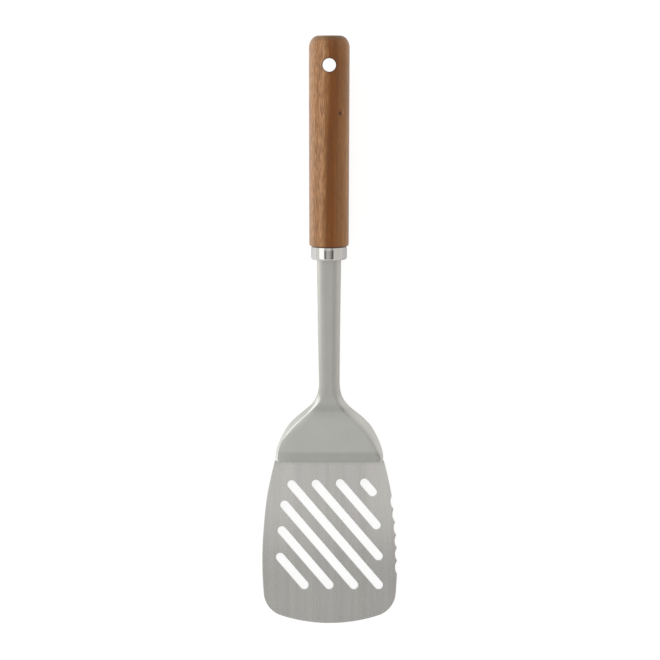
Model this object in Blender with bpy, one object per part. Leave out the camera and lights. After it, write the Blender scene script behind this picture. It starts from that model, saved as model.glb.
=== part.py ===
"""Slotted steel turner with a turned wooden handle, lying face up on a table.

The handle's shoulder, the ferrule, the tang and its resin are placed on the grip line, which leaves the
neck's bend at BEND_DEG. Blade and shoulder are drawn in the sheet frame: +X across, +Y from the blade's tip
towards the handle, +Z up from the blade's underside. The whole turner is then tilted until its heel and the
low edge of its handle rest on the table. Lengths are in metres and angles in degrees.
"""

from math import atan2, ceil, cos, degrees, pi, radians, sin, sqrt, tan

import bmesh
import bpy
from mathutils import Matrix, Vector

# Fits
SEAT_GAP = 0.0003
MERGE_DISTANCE = 0.000001

# Blade: outline
BLADE_LENGTH = 0.0979
BLADE_THICKNESS = 0.0010
BLADE_HALF_WIDTH = 0.04093
WIDEST_FROM_TIP = 0.0381
SIDE_RADIUS = 0.2254
TIP_RADIUS = 0.0970
CORNER_RADIUS = 0.0151
TAB_LENGTH = 0.0140
TAB_WIDTH = 0.0440
TAB_CORNER = 0.0030

# Blade: scalloped cutting edge on the right side
SCALLOPS = 6
SCALLOP_PITCH = 0.00775
SCALLOP_DEPTH = 0.0012
FIRST_SCALLOP_FROM_TIP = 0.0297

# Blade: diagonal slots, which end where their lines leave a window inside the blade's outline
SLOTS = 7
SLOT_WIDTH = 0.00514
SLOT_PITCH = 0.01127
SLOT_ANGLE_DEG = 49.05
FIRST_SLOT_OFFSET = 0.0036
SLOT_SIDE_MARGIN = 0.0110
SLOT_WINDOW_LOW = 0.0229
SLOT_WINDOW_HIGH = 0.0838
SLOT_WINDOW_SLANT_DEG = 1.3
SLOT_WINDOW_SIDE_RADIUS = 0.4000

# Neck: plan shape, measured along the bent spine from the toe
TOE_OVERLAP = 0.0011
SHOULDER_HALF_WIDTH = 0.0324
TOE_CORNER = 0.0025
FLANK_KNEE = 0.0231
FLANK_KNEE_HALF_WIDTH = 0.0241
FLANK_KNEE_DEG = 41.4
FLANK_LOW_PULL = 0.0085
FLANK_KNEE_PULL_LOW = 0.0020
FLANK_KNEE_PULL_HIGH = 0.0142
FLANK_ROOT_PULL = 0.0159
SHAFT_ROOT = 0.0492
SHAFT_ROOT_WIDTH = 0.0122
SHAFT_END_WIDTH = 0.0144

# Neck: thickness above its flat back
TOE_THICKNESS = 0.0016
BAND_LENGTH = 0.0062
PAN_FOOT_THICKNESS = 0.0030
PAN_HEAD = 0.0295
PAN_HEAD_THICKNESS = 0.0044
ARCH_TOP = 0.0368
ARCH_THICKNESS = 0.0052
SHAFT_END_THICKNESS = 0.0056
TOE_EDGE = 0.0013
SHOULDER_EDGE = 0.0011
SHAFT_EDGE = 0.0046
SHAFT_RISE = 0.0440
BACK_EASE = 0.0005
SIDE_EASE = 0.0002

# Neck: dish that falls gently from the flat land to a crease, and bevel from the crease to the edge
DISH_SLOPE = 0.24
DISH_TOE_WIDTH = 0.0005
DISH_WIDTH = 0.0055
DISH_FULL = 0.0260
DISH_GROWTH = 0.6
DISH_ROUNDING = 0.4
CREASE_ROOT = 0.0480
CREASE_ROOT_PULL = 0.0195
CREASE_TOE = 0.0024
CREASE_TOE_HALF_WIDTH = 0.0315
CREASE_TOE_PULL = 0.0235
CREASE_TOE_FLARE = 0.25
CREASE_ROUNDING = 0.0011
SHAFT_BEVEL = 0.0028
TOE_BEVEL = 0.0007

# Neck: bend and reach
BEND_START = 0.0270
BEND_RADIUS = 0.0800
BEND_DEG = 10.0
NECK_REACH = 0.1311
TANG_WIDTH = 0.0070
TANG_THICKNESS = 0.0035
TANG_DEPTH = 0.0550
SHAFT_STUB = 0.0007

# Ferrule
FERRULE_RADIUS = 0.01068
FERRULE_HEIGHT = 0.0076
FERRULE_WALL = 0.0006
FERRULE_CORNER = 0.0018

# Handle
HANDLE_LENGTH = 0.1235
HANDLE_TOP_RADIUS = 0.01198
HANDLE_LOW_RADIUS = 0.01188
HANDLE_CROWN_LENGTH = 0.0072
HANDLE_CROWN_DEPTH = 0.0055
HANDLE_LOW_EASE = 0.0014
HANG_HOLE_DIAMETER = 0.0079
HANG_HOLE_FROM_TOP = 0.0170
BORE_DIAMETER = 0.0110
BORE_DEPTH = 0.0580

# Facets
TURNED_STEPS = 72
ARC_STEP_DEG = 7.0
DISH_STEPS = 4
BEVEL_STEPS = 3
FLANK_STEP = 0.0012
FLANK_SAMPLES = 60
SHAFT_STEP = 0.0110
TIP_STEPS = 12
SIDE_STEPS = 10

# Search for the angle at which the turner lies
LYING_SEARCH_DEG = 30.0
HALVINGS = 60

# Finishes: base colour, metallic, roughness
FINISHES = {
    "handle": ((0.28, 0.14, 0.07), 0.0, 0.55),
    "ferrule": ((0.78, 0.77, 0.74), 1.0, 0.08),
    "neck": ((0.56, 0.56, 0.53), 1.0, 0.38),
    "blade": ((0.60, 0.59, 0.56), 1.0, 0.30),
    "tang_adhesive": ((0.55, 0.50, 0.38), 0.0, 0.45),
}


def clear_scene():
    """Removes every object, so that the turner is alone in the file."""
    for item in list(bpy.data.objects):
        bpy.data.objects.remove(item, do_unlink=True)


def make_finish(name):
    """One Principled material for each piece."""
    colour, metallic, roughness = FINISHES[name]
    material = bpy.data.materials.new(name + "_finish")
    material.use_nodes = True
    shader = material.node_tree.nodes["Principled BSDF"]
    shader.inputs["Base Color"].default_value = (*colour, 1.0)
    shader.inputs["Metallic"].default_value = metallic
    shader.inputs["Roughness"].default_value = roughness
    material.diffuse_color = (*colour, 1.0)
    return material


def add_object(name, bm):
    """Turns a bmesh into an object with outward faces."""
    bmesh.ops.remove_doubles(bm, verts=bm.verts, dist=MERGE_DISTANCE)
    bmesh.ops.recalc_face_normals(bm, faces=bm.faces)
    mesh = bpy.data.meshes.new(name)
    bm.to_mesh(mesh)
    bm.free()
    item = bpy.data.objects.new(name, mesh)
    bpy.context.scene.collection.objects.link(item)
    return item


def finish_piece(item, smooth_deg=None):
    """Gives a piece its material and, where it is round, smooth shading."""
    item.data.materials.append(make_finish(item.name))
    if smooth_deg is not None:
        item.data.shade_smooth()
        item.data.set_sharp_from_angle(angle=radians(smooth_deg))


def cut_with(item, cutter):
    """Subtracts a hidden cutter from a piece."""
    cutter.hide_render = True
    cutter.display_type = "WIRE"
    cutter.parent = item
    cut = item.modifiers.new(cutter.name, "BOOLEAN")
    cut.operation = "DIFFERENCE"
    cut.solver = "EXACT"
    cut.object = cutter


def arc_points(centre, radius, start, end):
    """Points on an arc from angle start to angle end, in radians, both ends included."""
    count = max(2, ceil(abs(degrees(end - start)) / ARC_STEP_DEG) + 1)
    turns = [start + (end - start) * k / (count - 1) for k in range(count)]
    return [(centre[0] + radius * cos(a), centre[1] + radius * sin(a)) for a in turns]


def ease(value, start, end):
    """Rises smoothly from 0 at start to 1 at end."""
    share = min(1.0, max(0.0, (value - start) / (end - start)))
    return share * share * (3.0 - 2.0 * share)


def blend(low, high, share):
    """The value that lies share of the way from low to high."""
    return low + (high - low) * share


# Turned pieces: each profile is a list of (radius, distance along the grip line)


def turned(name, profile):
    """Spins a profile about the grip line, the local Y axis, into a closed solid."""
    bm = bmesh.new()
    points = [bm.verts.new((radius, along, 0.0)) for radius, along in profile]
    edges = [bm.edges.new(pair) for pair in zip(points, points[1:])]
    bmesh.ops.spin(
        bm,
        geom=points + edges,
        cent=(0.0, 0.0, 0.0),
        axis=(0.0, 1.0, 0.0),
        angle=2.0 * pi,
        steps=TURNED_STEPS,
        use_merge=True,
    )
    return add_object(name, bm)


def quarter(radius_centre, along_centre, radial, axial, start_deg, end_deg):
    """A quarter of an ellipse in a profile; 0 degrees points out and 90 degrees towards the handle's top."""
    count = max(2, ceil(abs(end_deg - start_deg) / (2.0 * ARC_STEP_DEG)) + 1)
    turns = [radians(start_deg + (end_deg - start_deg) * k / (count - 1)) for k in range(count)]
    return [(radius_centre + radial * cos(a), along_centre + axial * sin(a)) for a in turns]


def tenon_radius():
    """The handle's reduced end fits inside the ferrule's wall."""
    return FERRULE_RADIUS - FERRULE_WALL - SEAT_GAP


def ferrule_floor():
    """Distance along the grip line of the inner face of the ferrule's closed end."""
    return -SEAT_GAP - FERRULE_HEIGHT + FERRULE_WALL


def shaft_end():
    """Distance along the grip line where the shaft steps down to the tang, inside the ferrule."""
    return ferrule_floor() + SHAFT_STUB


def hanging_hole_cutter():
    """A drill through the handle, square to the grip line and to the blade's width."""
    bm = bmesh.new()
    place = Matrix.Translation((0.0, HANDLE_LENGTH - HANG_HOLE_FROM_TOP, 0.0))
    radius = HANG_HOLE_DIAMETER / 2.0
    bmesh.ops.create_cone(
        bm,
        cap_ends=True,
        segments=TURNED_STEPS // 2,
        radius1=radius,
        radius2=radius,
        depth=4.0 * HANDLE_TOP_RADIUS,
        matrix=place,
    )
    return add_object("hanging_hole_drill", bm)


def make_handle():
    """Turned grip: tenon, square shoulder with an eased edge, slight taper, domed top."""
    tenon = tenon_radius()
    tenon_end = shaft_end() + SEAT_GAP
    tenon_ease = max(FERRULE_CORNER - FERRULE_WALL, SEAT_GAP)
    low = HANDLE_LOW_RADIUS
    top = HANDLE_TOP_RADIUS
    profile = [(0.0, HANDLE_LENGTH)]
    profile += quarter(
        top - HANDLE_CROWN_DEPTH,
        HANDLE_LENGTH - HANDLE_CROWN_LENGTH,
        HANDLE_CROWN_DEPTH,
        HANDLE_CROWN_LENGTH,
        90.0,
        0.0,
    )
    profile += quarter(low - HANDLE_LOW_EASE, HANDLE_LOW_EASE, HANDLE_LOW_EASE, HANDLE_LOW_EASE, 0.0, -90.0)
    profile.append((tenon, 0.0))
    profile += quarter(tenon - tenon_ease, tenon_end + tenon_ease, tenon_ease, tenon_ease, 0.0, -90.0)
    profile.append((0.0, tenon_end))
    handle = turned("handle", profile)
    cut_with(handle, hanging_hole_cutter())
    bore = BORE_DIAMETER / 2.0
    drill_start = tenon_end - FERRULE_HEIGHT
    drill = [(0.0, BORE_DEPTH), (bore, BORE_DEPTH), (bore, drill_start), (0.0, drill_start)]
    cut_with(handle, turned("tang_bore_drill", drill))
    finish_piece(handle, 35.0)
    return handle


def make_ferrule():
    """Drawn cup: open rim under the handle's shoulder, rounded corner, closed end with the shaft's slot."""
    rim = -SEAT_GAP
    closed = rim - FERRULE_HEIGHT
    floor = ferrule_floor()
    outer = FERRULE_RADIUS
    inner = FERRULE_RADIUS - FERRULE_WALL
    inner_corner = max(FERRULE_CORNER - FERRULE_WALL, SEAT_GAP)
    profile = [(0.0, floor)]
    profile += quarter(inner - inner_corner, floor + inner_corner, inner_corner, inner_corner, -90.0, 0.0)
    profile += [(inner, rim), (outer, rim)]
    corner = FERRULE_CORNER
    profile += quarter(outer - corner, closed + corner, corner, corner, 0.0, -90.0)
    profile.append((0.0, closed))
    ferrule = turned("ferrule", profile)
    below = NECK_REACH + closed - FERRULE_WALL
    above = NECK_REACH + floor + FERRULE_WALL
    slot = lofted("shaft_slot_broach", [shaft_ring(below, SEAT_GAP), shaft_ring(above, SEAT_GAP)])
    slot.data.transform(grip_matrix().inverted())
    cut_with(ferrule, slot)
    finish_piece(ferrule, 35.0)
    return ferrule


def make_tang_adhesive():
    """Resin sleeve between the handle's bore and the tang, open towards the ferrule."""
    radius = BORE_DIAMETER / 2.0 - SEAT_GAP
    low = shaft_end() + SEAT_GAP
    high = BORE_DEPTH - SEAT_GAP
    sleeve = turned("tang_adhesive", [(0.0, high), (radius, high), (radius, low), (0.0, low)])
    tang_end = NECK_REACH + TANG_DEPTH
    pocket_start = NECK_REACH + shaft_end() - FERRULE_HEIGHT
    rings = [tang_ring(pocket_start, SEAT_GAP), tang_ring(tang_end + SEAT_GAP, SEAT_GAP)]
    pocket = lofted("tang_pocket", rings)
    pocket.data.transform(grip_matrix().inverted())
    cut_with(sleeve, pocket)
    finish_piece(sleeve, 35.0)
    return sleeve


# Neck: a loft along a bent spine, which is the middle of its flat back


def toe_line():
    """Distance of the shoulder's toe from the blade's tip."""
    return BLADE_LENGTH - TOE_OVERLAP


def spine(along):
    """Place and direction of the spine: straight under the shoulder, one bend, then straight to the tang."""
    bend = radians(BEND_DEG)
    arc_length = BEND_RADIUS * bend
    start = toe_line() + BEND_START
    if along <= BEND_START:
        return toe_line() + along, 0.0, 0.0
    turned_by = min(along - BEND_START, arc_length) / BEND_RADIUS
    y = start + BEND_RADIUS * sin(turned_by)
    z = BEND_RADIUS * (1.0 - cos(turned_by))
    rest = max(0.0, along - BEND_START - arc_length)
    return y + rest * cos(turned_by), z + rest * sin(turned_by), turned_by


def on_spine(along, ring):
    """Carries a flat section, a list of (across, height above the back), to its place on the spine."""
    y, z, pitch = spine(along)
    return [(across, y - height * sin(pitch), z + height * cos(pitch)) for across, height in ring]


def grip_matrix():
    """The grip line's frame: origin in the handle's shoulder, local Y towards the handle's top."""
    y, z, pitch = spine(NECK_REACH)
    half = SHAFT_END_THICKNESS / 2.0
    place = Matrix.Translation((0.0, y - half * sin(pitch), z + half * cos(pitch)))
    return place @ Matrix.Rotation(pitch, 4, "X")


def bezier(start, start_pull, end_pull, end, share):
    """A point of a cubic Bezier curve."""
    rest = 1.0 - share
    weights = (rest**3, 3.0 * rest * rest * share, 3.0 * rest * share * share, share**3)
    points = (start, start_pull, end_pull, end)
    return sum((w * Vector(p) for w, p in zip(weights, points)), Vector((0.0, 0.0)))


def flank_curve():
    """Half width of the shoulder over the distance from the toe, as two Bezier pieces joined at the knee."""
    slope = radians(FLANK_KNEE_DEG)
    down = Vector((-cos(slope), sin(slope)))
    root = Vector((SHAFT_ROOT, SHAFT_ROOT_WIDTH / 2.0))
    knee = Vector((FLANK_KNEE, FLANK_KNEE_HALF_WIDTH))
    low = Vector((TOE_CORNER, SHOULDER_HALF_WIDTH))
    shares = [k / FLANK_SAMPLES for k in range(FLANK_SAMPLES + 1)]
    upper_pulls = (root - Vector((FLANK_ROOT_PULL, 0.0)), knee - down * FLANK_KNEE_PULL_HIGH)
    lower_pulls = (knee + down * FLANK_KNEE_PULL_LOW, low + Vector((FLANK_LOW_PULL, 0.0)))
    upper = [bezier(root, *upper_pulls, knee, s) for s in shares]
    lower = [bezier(knee, *lower_pulls, low, s) for s in shares]
    return upper + lower[1:]


def crease_curve(curve):
    """Half width of the crease over the distance from the toe, as one Bezier piece beside the flank."""
    root = Vector((CREASE_ROOT, half_width(CREASE_ROOT, curve) - SHAFT_BEVEL))
    low = Vector((CREASE_TOE, CREASE_TOE_HALF_WIDTH))
    root_pull = root - Vector((CREASE_ROOT_PULL, 0.0))
    low_pull = low + CREASE_TOE_PULL * Vector((1.0, -CREASE_TOE_FLARE))
    shares = [k / FLANK_SAMPLES for k in range(FLANK_SAMPLES + 1)]
    return [bezier(root, root_pull, low_pull, low, s) for s in shares]


def on_curve(curve, along):
    """Half width of a sampled curve at a distance from the toe, or that of its toe end beyond it."""
    for high, low in zip(curve, curve[1:]):
        if low[0] <= along <= high[0]:
            share = (along - low[0]) / max(high[0] - low[0], MERGE_DISTANCE)
            return blend(low[1], high[1], share)
    return curve[-1][1]


def half_width(along, curve):
    """Half width of the neck: rounded toe corner, flared shoulder, tapering shaft."""
    if along <= TOE_CORNER:
        inset = TOE_CORNER - along
        return SHOULDER_HALF_WIDTH - TOE_CORNER + sqrt(max(0.0, TOE_CORNER**2 - inset**2))
    if along >= SHAFT_ROOT:
        share = (along - SHAFT_ROOT) / (NECK_REACH - SHAFT_ROOT)
        return blend(SHAFT_ROOT_WIDTH, SHAFT_END_WIDTH, share) / 2.0
    return on_curve(curve, along)


def thickness(along):
    """Height of the neck's middle above its back: toe band, pan, arch, then the shaft."""
    if along <= BAND_LENGTH:
        return blend(TOE_THICKNESS, PAN_FOOT_THICKNESS, along / BAND_LENGTH)
    if along <= PAN_HEAD:
        return blend(PAN_FOOT_THICKNESS, PAN_HEAD_THICKNESS, (along - BAND_LENGTH) / (PAN_HEAD - BAND_LENGTH))
    if along <= ARCH_TOP:
        return blend(PAN_HEAD_THICKNESS, ARCH_THICKNESS, ease(along, PAN_HEAD, ARCH_TOP))
    return blend(ARCH_THICKNESS, SHAFT_END_THICKNESS, (along - ARCH_TOP) / (NECK_REACH - ARCH_TOP))


def edge_height(along):
    """Height of the bevel's outer edge above the back."""
    low = blend(TOE_EDGE, SHOULDER_EDGE, ease(along, 0.0, 2.0 * BAND_LENGTH))
    return blend(low, SHAFT_EDGE, ease(along, DISH_FULL, SHAFT_RISE))


def ramp(distance, rounding):
    """A slope of 1 that starts at distance 0, rounded over a distance rounding on both sides of it."""
    if distance <= -rounding:
        return 0.0
    if distance < rounding:
        return (distance + rounding) ** 2 / (4.0 * rounding)
    return distance


def crown_places(start, crease, end):
    """Distances across of the crown's points: evenly from its start to the crease, and on to its end."""
    dish = [blend(start, crease, k / DISH_STEPS) for k in range(DISH_STEPS)]
    return dish + [blend(crease, end, k / BEVEL_STEPS) for k in range(BEVEL_STEPS + 1)]


def crown(along, width, creases):
    """The crown's points, (across, height), from the land's edge over the dish and the bevel to the side.

    The dish's slope starts with a rounding. At the crease the bevel's slope is added to it, so that the
    bevel ends at the edge's height.
    """
    shoulder_share = 1.0 - ease(along, DISH_FULL, SHAFT_RISE)
    grown = min(along / DISH_FULL, 1.0) ** DISH_GROWTH
    dish = blend(DISH_TOE_WIDTH, DISH_WIDTH, grown) * shoulder_share
    crease = width - SHAFT_BEVEL
    if along < CREASE_ROOT:
        crease = min(on_curve(creases, along), width - TOE_BEVEL)
    bevel = width - crease
    rounding = min(CREASE_ROUNDING, bevel)
    dish_rounding = max(dish * DISH_ROUNDING, MERGE_DISTANCE)
    dish_line = crease - dish + dish_rounding
    dish_slope = DISH_SLOPE * shoulder_share
    middle = thickness(along)
    rest = middle - edge_height(along) - dish_slope * ramp(width - dish_line, dish_rounding)
    bevel_slope = rest / ramp(bevel, rounding)
    points = []
    for across in crown_places(crease - max(dish, rounding), crease, width - SIDE_EASE):
        fall = dish_slope * ramp(across - dish_line, dish_rounding)
        fall += bevel_slope * ramp(across - crease, rounding)
        points.append((across, middle - fall))
    return points


def section(points, width, grow=0.0):
    """One ring of the neck: flat land, the crown's points, eased side wall and flat back.

    The ring starts at the middle of the land, runs down the right side to the middle of the back and returns
    up the left side.
    """
    middle = points[0][1]
    half = [(points[0][0] / 2.0, middle)] + points
    half.append((width, points[-1][1] - SIDE_EASE))
    half.append((width, BACK_EASE))
    half.append((width - BACK_EASE, 0.0))
    half = [(x + grow * x / width, z + (grow if z > BACK_EASE else -grow)) for x, z in half]
    top = [(0.0, middle + grow)]
    back = [(0.0, -grow)]
    return top + half + back + [(-x, z) for x, z in reversed(half)]


def shaft_ring(along, grow=0.0):
    """The shaft's section beside the ferrule, carried straight along the grip line."""
    width = half_width(along, [])
    return on_spine(along, section(crown(along, width, []), width, grow))


def tang_ring(along, grow=0.0):
    """The tang's oblong section, centred on the grip line."""
    lift = (SHAFT_END_THICKNESS - TANG_THICKNESS) / 2.0
    width = TANG_WIDTH / 2.0
    corner = width - BACK_EASE
    places = crown_places(corner - BACK_EASE, corner, width - SIDE_EASE)
    top = [(x, TANG_THICKNESS - max(0.0, x - corner)) for x in places]
    return on_spine(along, [(x, z + lift) for x, z in section(top, width, grow)])


def lofted(name, rings):
    """Skins a row of rings with equal counts of points and caps both ends."""
    bm = bmesh.new()
    loops = [[bm.verts.new(point) for point in ring] for ring in rings]
    for first, second in zip(loops, loops[1:]):
        count = len(first)
        for k in range(count):
            after = (k + 1) % count
            bm.faces.new((first[k], first[after], second[after], second[k]))
    bm.faces.new(loops[0])
    bm.faces.new(loops[-1])
    return add_object(name, bm)


def shoulder_stations():
    """Distances from the toe of the loft's rings up to the shaft's root."""
    marks = [0.0]
    marks += [TOE_CORNER * (1.0 - cos(radians(a))) for a in (20.0, 40.0, 60.0, 75.0, 90.0)]
    marks += [BAND_LENGTH, PAN_HEAD, ARCH_TOP]
    steps = ceil((SHAFT_ROOT - TOE_CORNER) / FLANK_STEP)
    marks += [TOE_CORNER + (SHAFT_ROOT - TOE_CORNER) * k / steps for k in range(1, steps + 1)]
    kept = []
    for mark in sorted(marks):
        if not kept or mark - kept[-1] > FLANK_STEP / 4.0 or mark < TOE_CORNER:
            kept.append(mark)
    return kept


def rebate_cutter():
    """The seat for the blade in the shoulder's back: a full step at the toe and a pocket for the tab."""
    high = BLADE_THICKNESS + SEAT_GAP
    low = -BLADE_THICKNESS
    step_end = BLADE_LENGTH + SEAT_GAP
    reach = BLADE_HALF_WIDTH + SEAT_GAP
    tab = TAB_WIDTH / 2.0 + SEAT_GAP
    tab_end = BLADE_LENGTH + TAB_LENGTH + SEAT_GAP
    corner = TAB_CORNER
    front = toe_line() - BAND_LENGTH
    outline = [(-reach, front), (reach, front), (reach, step_end), (tab, step_end)]
    outline += arc_points((tab - corner, tab_end - corner), corner, 0.0, pi / 2.0)
    outline += arc_points((corner - tab, tab_end - corner), corner, pi / 2.0, pi)
    outline += [(-tab, step_end), (-reach, step_end)]
    return slab("blade_rebate", outline, low, high)


def make_neck():
    """Toe, pan, arch, shaft and tang in one loft, with the blade's seat cut in its back."""
    curve = flank_curve()
    creases = crease_curve(curve)
    rings = []
    for along in shoulder_stations():
        width = half_width(along, curve)
        rings.append(on_spine(along, section(crown(along, width, creases), width)))
    end = NECK_REACH + shaft_end()
    steps = ceil((end - SHAFT_ROOT) / SHAFT_STEP)
    for k in range(1, steps + 1):
        rings.append(shaft_ring(SHAFT_ROOT + (end - SHAFT_ROOT) * k / steps))
    rings.append(tang_ring(end))
    rings.append(tang_ring(NECK_REACH + TANG_DEPTH))
    neck = lofted("neck", rings)
    cut_with(neck, rebate_cutter())
    finish_piece(neck, 28.0)
    return neck


# Blade: a flat outline of arcs, given its thickness and cut by the slots


def slab(name, outline, low, high):
    """A flat outline given a thickness from height low to height high."""
    bm = bmesh.new()
    face = bm.faces.new([bm.verts.new((x, y, low)) for x, y in outline])
    lifted = bmesh.ops.extrude_face_region(bm, geom=[face])
    moved = [g for g in lifted["geom"] if isinstance(g, bmesh.types.BMVert)]
    bmesh.ops.translate(bm, verts=moved, vec=(0.0, 0.0, high - low))
    return add_object(name, bm)


def side_centre():
    """Centre of the right side's long arc."""
    return Vector((BLADE_HALF_WIDTH - SIDE_RADIUS, WIDEST_FROM_TIP))


def tip_centre():
    """Centre of the tip's arc, which touches the tip line."""
    return Vector((0.0, TIP_RADIUS))


def corner_centre():
    """Centre of the rounded corner, inside both the tip's arc and the side's arc."""
    side = side_centre()
    tip = tip_centre()
    span = (side - tip).length
    to_tip = TIP_RADIUS - CORNER_RADIUS
    to_side = SIDE_RADIUS - CORNER_RADIUS
    foot = (to_tip**2 - to_side**2 + span**2) / (2.0 * span)
    lift = sqrt(to_tip**2 - foot**2)
    along = (side - tip) / span
    return tip + along * foot + Vector((-along.y, along.x)) * lift


def side_at(height):
    """Half width of the blade on the side arc, height from the tip."""
    centre = side_centre()
    return centre.x + sqrt(SIDE_RADIUS**2 - (height - centre.y) ** 2)


def angle_from(centre, point):
    """Direction of a point from a centre."""
    return atan2(point.y - centre.y, point.x - centre.x)


def scalloped_side(start):
    """The right side from the corner up: a plain arc, concave scallops between sharp tips, a plain arc."""
    centre = side_centre()
    tips = [FIRST_SCALLOP_FROM_TIP + SCALLOP_PITCH * k for k in range(SCALLOPS + 1)]
    first = angle_from(centre, Vector((side_at(tips[0]), tips[0])))
    points = arc_points(centre, SIDE_RADIUS, start, first)
    for low, high in zip(tips, tips[1:]):
        a = Vector((side_at(low), low))
        b = Vector((side_at(high), high))
        chord = (b - a).length
        radius = (chord**2 / 4.0 + SCALLOP_DEPTH**2) / (2.0 * SCALLOP_DEPTH)
        outward = Vector(((b - a).y, -(b - a).x)).normalized()
        middle = (a + b) / 2.0 + outward * (radius - SCALLOP_DEPTH)
        begin = angle_from(middle, a) % (2.0 * pi)
        finish = angle_from(middle, b) % (2.0 * pi)
        points += arc_points(middle, radius, begin, finish)[1:]
    last = angle_from(centre, Vector((side_at(tips[-1]), tips[-1])))
    top = angle_from(centre, Vector((side_at(BLADE_LENGTH), BLADE_LENGTH)))
    return points + arc_points(centre, SIDE_RADIUS, last, top)[1:]


def plain_side(start):
    """The left side's points as if on the right, from the corner up."""
    centre = side_centre()
    top = angle_from(centre, Vector((side_at(BLADE_LENGTH), BLADE_LENGTH)))
    turns = [start + (top - start) * k / SIDE_STEPS for k in range(SIDE_STEPS + 1)]
    return [(centre.x + SIDE_RADIUS * cos(a), centre.y + SIDE_RADIUS * sin(a)) for a in turns]


def tab_points():
    """The tab's right half, from the blade's top edge round its corner."""
    tab = TAB_WIDTH / 2.0
    end = BLADE_LENGTH + TAB_LENGTH
    corner = (tab - TAB_CORNER, end - TAB_CORNER)
    return [(tab, BLADE_LENGTH)] + arc_points(corner, TAB_CORNER, 0.0, pi / 2.0)


def blade_outline():
    """The outline in order: tip arc, right corner, scalloped side, tab, left side, left corner."""
    tip = tip_centre()
    corner = corner_centre()
    on_tip = angle_from(tip, corner)
    on_side = angle_from(side_centre(), corner)
    half_tip = [-pi / 2.0 + (on_tip + pi / 2.0) * k / TIP_STEPS for k in range(TIP_STEPS + 1)]
    tip_arc = [(tip.x + TIP_RADIUS * cos(a), tip.y + TIP_RADIUS * sin(a)) for a in half_tip]
    corner_arc = arc_points(corner, CORNER_RADIUS, on_tip, on_side)[1:]
    right = tip_arc + corner_arc + scalloped_side(on_side)[1:] + tab_points()
    left = tip_arc[1:] + corner_arc + plain_side(on_side)[1:] + tab_points()
    return right + [(-x, y) for x, y in reversed(left)]


def slot_ends():
    """End centres of each slot, where its line leaves the slot window.

    Every slot lies on a line at SLOT_ANGLE_DEG. The window has a level limit towards the tip, a limit that
    slants by SLOT_WINDOW_SLANT_DEG towards the handle, and long arcs at its sides.
    """
    slope = radians(SLOT_ANGLE_DEG)
    along = Vector((cos(slope), -sin(slope)))
    across = Vector((sin(slope), cos(slope)))
    slant = tan(radians(SLOT_WINDOW_SLANT_DEG))
    side = BLADE_HALF_WIDTH - SLOT_SIDE_MARGIN - SLOT_WINDOW_SIDE_RADIUS
    ends = []
    for k in range(SLOTS):
        foot = across * (FIRST_SLOT_OFFSET + SLOT_PITCH * k)
        to_high = (SLOT_WINDOW_HIGH + slant * foot.x - foot.y) / (along.y - slant * along.x)
        to_low = (SLOT_WINDOW_LOW - foot.y) / along.y
        to_left = leaves_arc(foot, -along, Vector((-side, SLOT_WINDOW_LOW)))
        to_right = leaves_arc(foot, along, Vector((side, SLOT_WINDOW_LOW)))
        ends.append((foot + along * max(to_high, -to_left), foot + along * min(to_low, to_right)))
    return ends


def leaves_arc(foot, heading, centre):
    """Distance from foot along heading to the window's side arc about centre."""
    offset = foot - centre
    reach = offset.dot(heading)
    return sqrt(reach**2 - offset.length_squared + SLOT_WINDOW_SIDE_RADIUS**2) - reach


def slot_cutters():
    """One mesh with a round-ended prism for every slot."""
    bm = bmesh.new()
    radius = SLOT_WIDTH / 2.0
    for start, end in slot_ends():
        heading = angle_from(start, end)
        outline = arc_points(end, radius, heading - pi / 2.0, heading + pi / 2.0)
        outline += arc_points(start, radius, heading + pi / 2.0, heading + 1.5 * pi)
        face = bm.faces.new([bm.verts.new((x, y, -BLADE_THICKNESS)) for x, y in outline])
        lifted = bmesh.ops.extrude_face_region(bm, geom=[face])
        moved = [g for g in lifted["geom"] if isinstance(g, bmesh.types.BMVert)]
        bmesh.ops.translate(bm, verts=moved, vec=(0.0, 0.0, 3.0 * BLADE_THICKNESS))
    return add_object("slot_punches", bm)


def make_blade():
    """The sheet with its tab, scallops and slots."""
    blade = slab("blade", blade_outline(), 0.0, BLADE_THICKNESS)
    cut_with(blade, slot_cutters())
    finish_piece(blade)
    return blade


# Lying on the table


def low_points(item, place):
    """Side view of a piece's corners in the sheet frame, as (y, z)."""
    moved = [place @ v.co for v in item.data.vertices]
    return [(p.y, p.z) for p in moved]


def lowest(points, tilt):
    """Lowest height of side-view points after a turn by tilt about X."""
    return min(y * sin(tilt) + z * cos(tilt) for y, z in points)


def lying_tilt(neck_points, handle_points):
    """The tilt at which the neck's heel and the handle touch the same table, found by halving."""
    low = radians(-LYING_SEARCH_DEG)
    high = radians(LYING_SEARCH_DEG)
    for _ in range(HALVINGS):
        middle = (low + high) / 2.0
        if lowest(handle_points, middle) > lowest(neck_points, middle):
            high = middle
        else:
            low = middle
    return (low + high) / 2.0


def lay_down(root, pieces, tilt):
    """Tilts the turner and puts the bottom centre of its box at the origin."""
    turn = Matrix.Rotation(tilt, 4, "X")
    corners = []
    for item, place in pieces:
        corners += [turn @ place @ v.co for v in item.data.vertices]
    low = [min(c[axis] for c in corners) for axis in range(3)]
    high = [max(c[axis] for c in corners) for axis in range(3)]
    root.rotation_euler = (tilt, 0.0, 0.0)
    root.location = (-(low[0] + high[0]) / 2.0, -(low[1] + high[1]) / 2.0, -low[2])


def add_empty(name):
    """A bare frame that carries pieces."""
    empty = bpy.data.objects.new(name, None)
    bpy.context.scene.collection.objects.link(empty)
    return empty


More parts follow.
